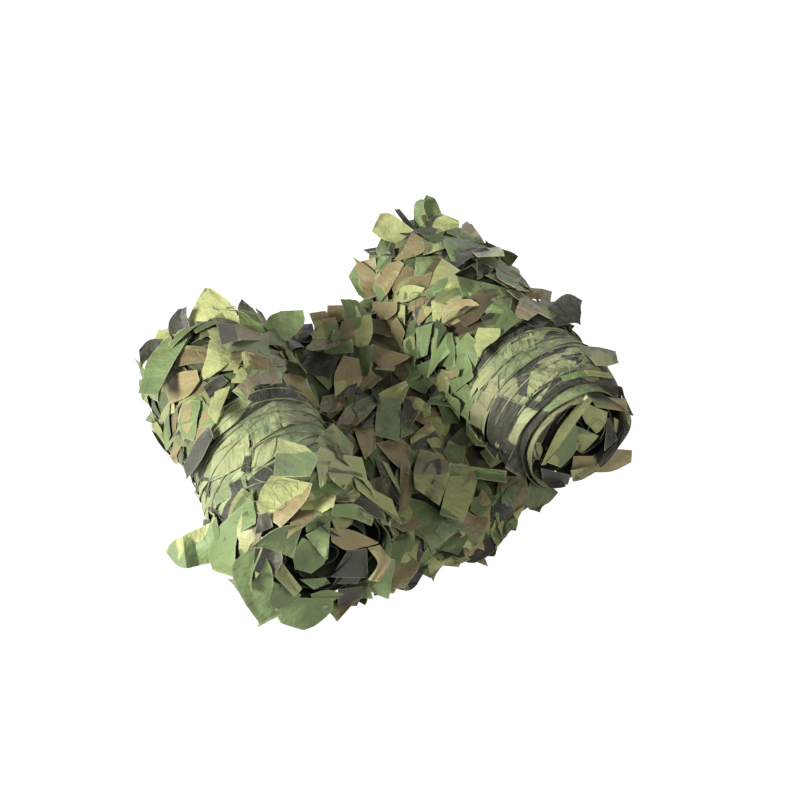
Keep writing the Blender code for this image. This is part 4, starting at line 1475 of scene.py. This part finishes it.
    ((612, 449, 620, 449, 631, 450), (592, 472, 611, 471, 630, 462), "brown", 0.8, 18),
    ((613, 417, 614, 431), (618, 420, 617, 432), "khaki", 0.5, 6),
    ((607, 418, 603, 452), (611, 418, 617, 440), "dark", 0.5, 3),
    ((540, 468, 542, 482), (571, 475, 569, 486), "dark", 0.6, 4),
    ((573, 456, 572, 472), (593, 456, 595, 470), "brown", 0.6, 5),
    ((570, 470, 573, 482), (583, 468, 581, 480), "khaki", 0.6, 6),
)
print("outlines to lay:", len(SHOWN_LEAVES))

# %% [markdown]
# ## From an outline to a leaf
#
# A leaf's outline alone doesn't say how it lies. It is taken to start in one plane: along the cloth, or
# stood up from it towards the picture's own plane by the share in its row. That plane makes its shape the
# true flat one. It is then bent as one smooth sheet towards the cloth, but only along the lines of sight, so
# that it keeps its outline from the camera while it lies on the others from every side.

# %% Reading an outline
LONGEST_LEAF = 0.150
LEAST_AHEAD = -0.03
WIDEST_HALF = 0.070
STRETCHED = 1.2  # the most that a leaf may be longer than it looks
OFF_CLOTH = 3.0  # the pixels that a root may miss the cloth by before the leaf is lengthened to reach it
STEEPEST = 0.4  # how edge-on to the picture a leaf may lie, from 0 for fully to 1 for not at all


def pixel_pairs(numbers):
    return [Vector(pair) for pair in zip(numbers[::2], numbers[1::2])]


def flat_side(pixels, start, sideways, forward):
    """A side's corners as metres aside and ahead of a leaf's root."""
    across, ahead = shows_as(start, sideways), shows_as(start, forward)
    places = []
    for pixel in pixels:
        aside, along = in_two(pixel - picture_place(start), across, ahead)
        aside = min(max(aside, -WIDEST_HALF), WIDEST_HALF)
        places.append(Vector((aside, min(max(along, LEAST_AHEAD), LONGEST_LEAF))))
    return tuple(places)


# %% Bending it to the cloth
FURTHEST_OFF = 0.07  # the most that the cloth may lie behind or before a leaf's plane
LEAST_FACING = 0.35
FIT_STEPS = 5
FIT_SIZE = 0.04
STIFFNESS = 0.4  # how much a leaf holds out against bending with the cloth under it
ROOT_HOLD = 3  # how many other places the root outweighs


def bend_terms(x, y):
    """The parts of a gently bent sheet's height over the leaf's plane: level, slopes and bends."""
    x, y = x / FIT_SIZE, y / FIT_SIZE
    return (1.0, x, y, x * x, x * y, y * y)


def bend_to_cloth(target, start, sideways, forward, flat):
    """One smooth bend, fitted to how far behind the leaf's plane the cloth lies all over the leaf."""
    corners = [corner for side in flat for corner in side]
    low, high = min(corner.x for corner in corners), max(corner.x for corner in corners)
    length = max(corner.y for corner in corners)
    terms, gaps = [bend_terms(0.0, 0.0)] * ROOT_HOLD, [0.0] * ROOT_HOLD
    for i in range(FIT_STEPS):
        for j in range(FIT_STEPS):
            x, y = low + (high - low) * i / (FIT_STEPS - 1), length * j / (FIT_STEPS - 1)
            spot = start + sideways * x + forward * y
            place = seen_place(target, spot)
            behind = (target[0].place(*place) - spot).dot(view_back) if place else FURTHEST_OFF
            if abs(behind) < FURTHEST_OFF:
                terms.append(bend_terms(x, y))
                gaps.append(behind)
    for k in range(1, 6):
        terms.append([STIFFNESS * (1.0 if k < 3 else 2.0) * (term == k) for term in range(6)])
        gaps.append(0.0)
    return numpy.linalg.lstsq(numpy.array(terms), numpy.array(gaps), rcond=None)[0]


def from_picture(target, bend, start, sideways, forward):
    """Places a leaf's points on the lines of sight of its flat outline, so that it shows as it was read.
    With no bend, each point lies on the cloth itself."""
    slope = max(sideways.cross(forward).dot(view_back), LEAST_FACING)

    def placed(x, y, rise):
        free = start + sideways * x + forward * y + view_back * (rise / slope)
        if bend is None:
            place = seen_place(target, free)
            return free, target[0].lifted(*place, rise) if place else free
        gap = float(bend.dot(bend_terms(x, y)))
        return free, free + view_back * min(max(gap, -FURTHEST_OFF), FURTHEST_OFF)

    return placed


# %% Laying the leaves that show
SHOWN_HUG = 0.95
SHOWN_MESHES = 3
SHOWN_SEED = 4000


def pixel_leaf(left, right, stand, taut=False, **bends):
    """A leaf read from the picture: how its points are placed, its surface and its shape."""
    sides = [pixel_pairs(side) for side in (left, right)]
    root, tip = ((sides[0][end] + sides[1][end]) / 2 for end in (0, -1))
    target, place = cloth_at(*root)
    surface = target[0]
    start, normal = surface.place(*place), surface.normal(*place)
    off_cloth = picture_place(start) - root
    if off_cloth.length > OFF_CLOTH:
        for side in sides:
            side[0] = side[0] + off_cloth
    picture_step = tip - picture_place(start)
    looks = picture_step.length / PIXELS_PER_METRE
    level = (view_right * picture_step.x - view_up * picture_step.y) / PIXELS_PER_METRE
    lying = reach_to(surface, place, picture_step)
    if lying.length > looks * STRETCHED:
        lying = lying * (looks * STRETCHED / lying.length)
    step = lying.lerp(level, stand)
    forward = (step - normal * min(step.dot(normal), 0.0)).normalized()
    turn = 0.8 * stand
    while turn < 1.0:
        sideways = forward.cross(normal.lerp(view_back, turn)).normalized()
        if abs(shows_as(start, sideways).cross(shows_as(start, forward))) > STEEPEST * PIXELS_PER_METRE ** 2:
            break
        turn += 0.1
    flat = [flat_side(side, start, sideways, forward) for side in sides]
    length = max(corner.y for side in flat for corner in side)
    bend = None if taut else bend_to_cloth(target, start, sideways, forward, flat)
    placed = from_picture(target, bend, start, sideways, forward)
    return placed, surface, Shape(flat[0], flat[1], length, **bends)


def lay_shown_leaf(cloth, left, right, shade, stand, height):
    width = (pixel_pairs(left)[0] - pixel_pairs(right)[0]).length / PIXELS_PER_METRE
    length = (pixel_pairs(left)[0] - pixel_pairs(left)[-1]).length / PIXELS_PER_METRE
    placed, surface, shape = pixel_leaf(
        left,
        right,
        stand,
        lift=chance.uniform(0.0, 0.12),
        bend=chance.uniform(-0.3, 0.2),
        fold=chance.choice((0.0, chance.uniform(-0.35, 0.3))),
        fold_row=chance.choice((3, 4, 5)),
        creases=random_creases(3, 0.42, length, width),
        curl=chance.uniform(-0.3, 0.45),
        twist=chance.uniform(-0.25, 0.25),
        ruffle=chance.uniform(0.0, 6.0),
    )
    # a random tone, darker on the stretch between the rolls as painted shade
    tone_and_shade = chance.uniform(0.92, 1.12) * (SLACK_SHADE if surface is slack_surface else 1.0)
    lay_leaf(cloth, placed, shape, height / 1000.0, SHOWN_HUG * (1.0 - stand), shade, tone_and_shade)


shown_meshes = [ClothMesh() for _ in range(SHOWN_MESHES)]
for k, row in enumerate(SHOWN_LEAVES):
    chance.seed(SHOWN_SEED + k)
    lay_shown_leaf(shown_meshes[k * SHOWN_MESHES // len(SHOWN_LEAVES)], *row)
for k, mesh in enumerate(shown_meshes, 1):
    leaf_meshes[f"leaves_top_{k}"] = mesh
print("leaves on top:", sum(len(mesh.bake_corners) for mesh in shown_meshes))

# %% [markdown]
# ## The taut bands
#
# Round one part of each roll the cloth was pulled tight before its slits could open. There it shows as
# smooth strips that overlap like a bandage, wrapped askew on the left roll, with the paler reverse outwards
# here and there. Each strip is one thin ribbon with soft lengthwise creases. The strips follow the roll's
# even surface a few millimetres under the netting's twine, which was pulled tight over them, but for one
# place on each roll where the cloth bulges out between the twine's runs.

# %% Strips
STRIP_THICKNESS = 0.0007
STRIP_STEPS = 96
STRIP_POINTS = 14
STRIP_ANGLES = (math.radians(-80.0), math.radians(262.0))
# Where the taut cloth bulges out: the place along the roll, the angle, and how far in metres
BULGES = {"left": (0.42, math.radians(205.0), 0.012), "right": (0.16, math.radians(145.0), 0.014)}
BULGE_LENGTH = 0.07
BULGE_TURN = 0.5
STRIP_LEAN = 0.0014  # how much higher a strip's front edge lies than its middle, and its back edge lower
STRIP_PRINT_STEP = 7.0  # spreads the strips over the printed cloth
STRIP_LOWEST = 0.002
# Middle of the strip along the roll, its width (mm), how far it runs back in a quarter turn inwards (mm),
# shade, and its height against the roll's even surface (mm)
STRIPS = {
    "left": (
        (0.155, 42, 0, "green", -5.4),
        (0.228, 40, 8, "green_lime", -4.2),
        (0.290, 44, -6, "lime_green", -4.0),
        (0.352, 34, 9, "khaki", -4.6),
        (0.402, 46, -3, "lime_green", -3.6),
        (0.455, 36, 8, "green_lime", -4.8),
        (0.545, 44, -2, "khaki", -5.2),
        (0.502, 32, 2, "dark", -2.6),
        (0.192, 32, 14, "dark", -2.6),
    ),
    "right": (
        (-0.044, 30, 0, "brown_dark", -14.0),
        (-0.010, 36, -3, "green_dark", -8.0),
        (0.082, 34, 8, "lime_green", -4.8),
        (0.128, 42, -6, "khaki", -4.0),
        (0.182, 38, 8, "tan_dark", -4.8),
        (0.232, 44, -4, "green_lime", -3.8),
        (0.330, 36, 4, "dark", -5.0),
        (0.284, 40, 9, "lime", -2.8),
        (0.036, 42, -8, "brown_dark", -2.6),
    ),
}


def strip_point(roll, row, angle, side):
    """A point of a strip. Side runs from -1 at its front edge to 1 at its back edge."""
    middle, width, run_back, _, height = row
    phase = 40.0 * middle
    edge_wave = 0.0024 * math.sin(2.0 * angle + side + phase)
    edge_wave += 0.0012 * math.sin(6.0 * angle + 2.0 * phase)
    slant = 0.001 * run_back * (math.pi / 2 - angle) / (math.pi / 2) + tilt(roll, angle)
    out = side * (width / 2000.0 + edge_wave) + slant + 0.002 * math.sin(1.7 * angle + phase)
    crease = math.sin(2.6 * side + 1.8 * math.sin(1.3 * angle + phase) + phase)
    pucker = 0.0006 * math.sin(9.0 * angle + 4.0 * side + phase) * math.sin(3.0 * angle - 2.0 * side + phase)
    level = 0.001 * height + 0.0007 * crease + pucker - STRIP_LEAN * side
    place = middle + out / ROLL_LENGTH
    along, turned, out_by = BULGES[roll.name]
    off = -((place - along) / BULGE_LENGTH) ** 2 - ((angle - turned) / BULGE_TURN) ** 2
    level += out_by * math.exp(off)
    return above_floor(roll_point(roll, angle, place, level, ridged=False), STRIP_LOWEST)


def lay_strips(roll):
    cloth = ClothMesh()
    first, last = STRIP_ANGLES
    sides = [2.0 * j / STRIP_POINTS - 1.0 for j in range(STRIP_POINTS + 1)]
    for row in STRIPS[roll.name]:
        middle, width, _, shade, _ = row
        grid, flat = [], []
        for k in range(STRIP_STEPS + 1):
            angle = first + (last - first) * k / STRIP_STEPS
            grid.append([strip_point(roll, row, angle, side) for side in sides])
            low = middle * STRIP_PRINT_STEP
            flat.append([(angle * ROLL_RADIUS, low + side * width / 2000.0) for side in sides])
        bias = (*SHADES[shade], chance.uniform(0.85, 1.05))
        cloth.shell(grid, flat, STRIP_THICKNESS, bias, frayed=False)
    return cloth.build(f"taut_strips_{roll.name}", taut_cloth, bake_columns=2), cloth.area


strips = {roll.name: lay_strips(roll) for roll in ROLLS}

# %% Taut pieces
# Over the strips lie shorter pieces of the same taut cloth, whose print and ends show. Left side and right
# side from end to end (pixels across and down in turn), shade, height against the roll's even surface (mm)
TAUT_PIECES = (
    # left band
    ((208, 428, 231, 404, 253, 388), (213, 440, 234, 423, 257, 402), "lime", -1.2),
    ((246, 399, 257, 387, 286, 383), (253, 402, 272, 400, 309, 402), "dark", -1.0),
    ((213, 452, 229, 439, 248, 433), (209, 482, 229, 473, 248, 459), "lime", -1.0),
    ((242, 423, 276, 409), (253, 445, 281, 426), "lime_green", -1.2),
    ((246, 452, 240, 471), (252, 447, 248, 473), "green_dark", -0.6),
    ((255, 449, 276, 433), (253, 471, 276, 456), "lime", -1.0),
    ((182, 489, 208, 478), (183, 508, 208, 497), "green_dark", -1.2),
    ((211, 497, 239, 478, 275, 459), (215, 506, 243, 489, 274, 471), "green_dark", -1.0),
    ((194, 527, 208, 508, 224, 494), (206, 546, 217, 520, 257, 484), "dark", -0.8),
    ((276, 412, 283, 426), (295, 409, 309, 421), "khaki", -1.2),
    ((333, 423, 354, 445), (314, 440, 352, 456), "green_brown", -1.0),
    # right band
    ((476, 370, 490, 347, 538, 318), (482, 368, 504, 349, 550, 321), "dark", -1.2),
    ((556, 317, 575, 321, 592, 344), (557, 323, 573, 333, 587, 345), "green_dark", -1.0),
    ((476, 375, 508, 343, 546, 321), (478, 391, 512, 357, 544, 341), "lime_green", -1.0),
    ((543, 337, 550, 331, 565, 332), (546, 341, 553, 334, 567, 336), "dark", -0.6),
    ((546, 361, 557, 357, 575, 361), (546, 366, 559, 368, 577, 366), "lime", -0.8),
    ((517, 378, 518, 395), (530, 373, 527, 397), "dark", -0.6),
    ((531, 371, 526, 399), (559, 371, 540, 401), "lime_green", -1.0),
    ((482, 391, 467, 418, 478, 440), (496, 395, 486, 418, 484, 442), "khaki", -1.2),
    ((496, 397, 487, 422, 486, 448), (524, 408, 512, 430, 494, 459), "dark", -1.0),
    ((488, 381, 490, 399), (498, 375, 498, 397), "brown", -0.8),
    ((505, 468, 518, 440, 536, 414, 552, 395, 577, 387),
     (525, 480, 536, 456, 550, 426, 567, 406, 585, 395), "dark", 0.4),
    ((535, 442, 532, 450, 535, 459), (540, 442, 542, 450, 539, 459), "brown", 1.6),
    ((573, 385, 597, 380, 623, 387), (583, 392, 603, 393, 625, 396), "dark", 0.2),
    ((561, 355, 583, 353), (567, 361, 583, 363), "dark", -0.6),
    ((585, 353, 582, 362, 575, 366), (587, 355, 585, 364, 577, 368), "lime", 0.6),
)


def lay_taut_piece(cloth, left, right, shade, height):
    placed, _, shape = pixel_leaf(left, right, 0.0, taut=True, lift=0.0, ruffle=chance.uniform(0.0, 6.0))
    lay_leaf(cloth, placed, shape, height / 1000.0, 1.0, shade, chance.uniform(0.85, 1.0))


taut_mesh = ClothMesh()
for row in TAUT_PIECES:
    lay_taut_piece(taut_mesh, *row)
taut_pieces = taut_mesh.build("taut_pieces", taut_cloth)

# %% [markdown]
# ## The netting's twine
#
# The leaves hang from a net of thin twisted twine. It shows where it runs tight round the bands, and in a
# few loose loops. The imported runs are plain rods, so each is made again here along its own middle line as
# two strands that wind round each other.

# %% Twine
TWINE_RADIUS = 0.0014
STRAND_RADIUS = 0.00082
STRAND_TURNS_PER_METRE = 150.0
TWINE_STEP = 0.0016
STRAND_SIDES = 6
RUN_FIRST = 10.0  # the degrees round a roll of a packed run's first point
RUN_STEP = 7.0
TWINE_GREEN = (0.085, 0.098, 0.045)
DUSTY_TWINE = (0.200, 0.215, 0.110)
FIBRE_SCALE = 900.0
FIBRE_HEIGHT = 0.0003
DUST_SCALE = 40.0


def twine_material():
    material, shader = new_material("netting_twine_fibre", {})
    nodes = Nodes(material)
    place = nodes.add("ShaderNodeTexCoord").outputs["Object"]
    fibres = nodes.add("ShaderNodeTexNoise", Vector=place, Scale=FIBRE_SCALE, Detail=2.0)
    dust = nodes.add("ShaderNodeTexNoise", Vector=place, Scale=DUST_SCALE, Detail=1.0)
    colour = nodes.mix(nodes.step(dust.outputs["Fac"], 0.55, 0.1), TWINE_GREEN, DUSTY_TWINE)
    nodes.set(shader.inputs["Base Color"], colour)
    nodes.set(shader.inputs["Roughness"], nodes.math("MULTIPLY_ADD", fibres.outputs["Fac"], 0.3, 0.5))
    bump = nodes.add("ShaderNodeBump", Strength=0.6, Distance=FIBRE_HEIGHT, Height=fibres.outputs["Fac"])
    nodes.set(shader.inputs["Normal"], bump.outputs["Normal"])
    return material


twine_fibre = twine_material()


def resampled(path, step):
    """Points at even steps along a smooth curve through a path's points."""
    dense = []
    for k in range(len(path) - 1):
        before, start = path[max(k - 1, 0)], path[k]
        end, after = path[k + 1], path[min(k + 2, len(path) - 1)]
        dense.extend(curved(before, start, end, after, part / 8) for part in range(8))
    dense.append(path[-1])
    even, carried = [dense[0]], 0.0
    for here, there in zip(dense, dense[1:]):
        gap = (there - here).length
        while carried + gap >= step:
            here = here.lerp(there, (step - carried) / gap)
            gap = (there - here).length
            carried = 0.0
            even.append(here)
        carried += gap
    return even


def with_directions(path):
    """Each point of a path, with the direction ahead and one across that turns no more than it must."""
    across = (path[1] - path[0]).orthogonal().normalized()
    for k, place in enumerate(path):
        ahead = (path[min(k + 1, len(path) - 1)] - path[max(k - 1, 0)]).normalized()
        across = (across - ahead * across.dot(ahead)).normalized()
        yield place, ahead, across


# %% A gatherer of tubes
class TubeMesh:
    """Closed round tubes, many to a mesh."""

    def __init__(self):
        self.points = []
        self.faces = []

    def tube(self, path, radius, sides):
        first = len(self.points)
        for place, ahead, across in with_directions(path):
            for side in range(sides):
                turn = Matrix.Rotation(math.tau * side / sides, 3, ahead)
                self.points.append(place + turn @ across * radius)
        for k in range(len(path) - 1):
            for side in range(sides):
                after = (side + 1) % sides
                near, far = first + k * sides, first + (k + 1) * sides
                self.faces.append((near + side, near + after, far + after, far + side))
        last = first + (len(path) - 1) * sides
        self.faces.append(tuple(range(first + sides - 1, first - 1, -1)))
        self.faces.append(tuple(range(last, last + sides)))

    def twisted(self, path):
        """Two strands wound round a path."""
        strands = ([], [])
        for k, (place, ahead, across) in enumerate(with_directions(resampled(path, TWINE_STEP))):
            turned = math.tau * STRAND_TURNS_PER_METRE * TWINE_STEP * k
            out = Matrix.Rotation(turned, 3, ahead) @ across * (TWINE_RADIUS - STRAND_RADIUS)
            strands[0].append(place + out)
            strands[1].append(place - out)
        for strand in strands:
            self.tube(strand, STRAND_RADIUS, STRAND_SIDES)

    def build(self, name):
        mesh = bpy.data.meshes.new(name)
        mesh.from_pydata(self.points, [], self.faces)
        mesh.materials.append(twine_fibre)
        mesh.shade_smooth()
        return add_object(name, mesh)


# %% The taut runs
def packed_path(roll, node):
    """The middle line of a packed run: its points gathered by their angle round the roll, then averaged."""
    rings = {}
    for vertex in node.data.vertices:
        off = vertex.co - roll.centre
        degrees = math.degrees(math.atan2(off.z, off.dot(roll.across)))
        ring = round((degrees % 360.0 - RUN_FIRST) / RUN_STEP)
        rings.setdefault(ring, []).append(vertex.co.copy())
    return [sum(rings[ring], Vector()) / len(rings[ring]) for ring in sorted(rings)]


runs = {}
for roll in ROLLS:
    for name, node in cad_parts.items():
        if name.startswith(f"twine_{roll.name}"):
            tubes = TubeMesh()
            tubes.twisted(packed_path(roll, node))
            runs[name] = tubes.build(name.replace("twine", "twisted_twine"))
print("taut runs:", sorted(runs))

# %% [markdown]
# ## Loose loops and threads
#
# Where the net lies slack its meshes spring up in thin loops, and a cut end has frayed into a tuft. Like the
# leaves on top, each is named by the pixel where it shows, and starts from the cloth there.

# %% Loops
# Middle across and down (pixels), half length and half width (mm), its turn (degrees), how much of a full
# loop it makes (degrees), height over the cloth (mm)
LOOPS = (
    (226, 296, 26, 17, 20, 300, 20),
    (200, 487, 20, 12, 30, 330, 0),
    (196, 500, 17, 10, 80, 280, 0),
    (240, 474, 24, 11, 10, 300, 1),
    (262, 476, 22, 12, 60, 250, 1),
    (272, 500, 34, 18, 50, 330, 17),
    (288, 503, 26, 15, 70, 300, 18),
    (296, 412, 30, 12, 15, 200, 0),
    (214, 352, 18, 10, 60, 280, 8),
    (247, 366, 20, 9, 10, 220, 8),
    (527, 362, 30, 19, 20, 330, 0),
    (510, 372, 22, 13, 50, 260, 0),
    (556, 377, 26, 12, 10, 240, 0),
    (590, 428, 24, 17, 80, 320, 14),
    (576, 352, 22, 10, 0, 220, 3),
    (417, 272, 24, 12, 60, 250, 16),
    (424, 306, 22, 10, 70, 280, 16),
    (478, 262, 24, 10, 20, 220, 14),
    (372, 232, 22, 11, 40, 260, 14),
    (508, 352, 26, 10, 30, 200, 1),
)
LOOP_POINTS = 22
LOOP_RISE = 0.005
LOOP_STEP = 0.0025
THREAD_RADIUS = 0.0006
THREAD_SIDES = 6
LOWEST_TWINE = TWINE_RADIUS + FLOOR_GAP


def loop_path(across, down, half_length, half_width, turn, arc, height):
    """A loop of twine over the cloth. Its ends dip to the cloth, and its far side springs up."""
    (surface, *_), (u, v) = cloth_at(across, down)
    cosine, sine = math.cos(math.radians(turn)), math.sin(math.radians(turn))
    path = []
    for k in range(LOOP_POINTS + 1):
        share = k / LOOP_POINTS
        angle = math.radians(arc) * (share - 0.5)
        x = 0.001 * half_length * math.cos(angle) * (1.0 + 0.08 * math.sin(5.0 * angle))
        y = 0.001 * half_width * math.sin(angle)
        rise = LOOP_RISE * math.sin(math.pi * share)
        place = (u + x * cosine - y * sine, v + x * sine + y * cosine)
        path.append(above_floor(surface.lifted(*place, 0.001 * height + rise), LOWEST_TWINE))
    return path


loops = TubeMesh()
for row in LOOPS:
    loops.tube(resampled(loop_path(*row), LOOP_STEP), THREAD_RADIUS, THREAD_SIDES)
print("loops:", len(LOOPS))

# %% Threads pulled across the bands
# Each thread's places in the picture, in pixels
THREADS = (
    ((178, 486), (208, 461), (243, 433), (276, 408), (309, 407), (338, 423), (353, 445)),
    ((243, 430), (252, 440), (252, 452), (246, 467)),
    ((257, 468), (262, 449), (279, 433), (306, 422), (331, 425), (348, 440)),
    ((184, 509), (201, 506), (211, 482), (229, 471)),
    ((186, 348), (201, 336), (220, 329), (241, 332)),
    ((272, 520), (283, 501), (295, 489), (281, 482), (264, 497)),
    ((469, 416), (479, 393), (498, 371), (516, 353), (530, 359)),
    ((536, 367), (550, 372), (565, 369), (581, 364)),
    ((514, 466), (526, 440), (550, 404), (577, 386), (605, 385)),
    ((506, 454), (530, 414), (557, 387), (585, 373), (617, 375)),
    ((538, 466), (557, 426), (575, 401)),
    ((459, 272), (476, 264), (492, 258)),
    ((405, 262), (409, 274), (416, 284)),
    ((415, 312), (421, 304), (427, 296)),
)
THREAD_STEP = 0.003
THREAD_LEVEL = -0.0004  # against the cloth


def thread_path(pixels):
    path = []
    for across, down in pixels:
        target, place = cloth_at(across, down)
        path.append(above_floor(target[0].lifted(*place, THREAD_LEVEL), LOWEST_TWINE))
    return path


for pixels in THREADS:
    loops.tube(resampled(thread_path(pixels), THREAD_STEP), THREAD_RADIUS, THREAD_SIDES)
print("threads:", len(THREADS))

# %% The frayed tuft
TUFT_PLACES = ((326, 438, 26), (334, 446, 16), (247, 388, 10))  # across and down (pixels), strands
TUFT_SPREAD = 0.006
STRAND_LENGTHS = (0.012, 0.030)
STRAND_PARTS = 7


def strand_path(surface, u, v):
    """One frayed thread that leaves the cloth and curls over."""
    normal = surface.normal(u, v)
    sideways = heading(surface, (u, v), chance.uniform(0.0, math.tau))
    length = chance.uniform(*STRAND_LENGTHS)
    place, slope = surface.lifted(u, v, 0.001), chance.uniform(0.4, 1.3)
    path = [place]
    for _ in range(STRAND_PARTS):
        place = place + (sideways * math.cos(slope) + normal * math.sin(slope)) * (length / STRAND_PARTS)
        slope -= chance.uniform(0.05, 0.5)
        path.append(place)
    return path


for across, down, strands in TUFT_PLACES:
    (surface, *_), (u, v) = cloth_at(across, down)
    for _ in range(strands):
        place = (u + chance.gauss(0.0, TUFT_SPREAD), v + chance.gauss(0.0, TUFT_SPREAD))
        loops.tube(strand_path(surface, *place), THREAD_RADIUS / 2, 4)
loose_twine = loops.build("loose_twine")
print("tufts:", len(TUFT_PLACES))

# %% [markdown]
# ## Fitting it to the part
#
# The net has no joints, so every piece rides on the one body. The new pieces stand in for the imported solids,
# which are hidden here and stay behind for collision.

def declare_cloth(piece, area):
    """Puts a sheet on the one body. Its area is not used."""
    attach(piece, "root")


for piece, area in (*wound_sheets.values(), *strips.values()):
    declare_cloth(piece, area)
declare_cloth(taut_pieces, taut_mesh.area)
declare_cloth(slack_cloth, slack_area)
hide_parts("net")
for name, mesh in leaf_meshes.items():
    declare_cloth(mesh.build(name, leaf_cloth), mesh.area)
for name, piece in runs.items():
    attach(piece, "root")
    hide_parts(name)
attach(loose_twine, "root")
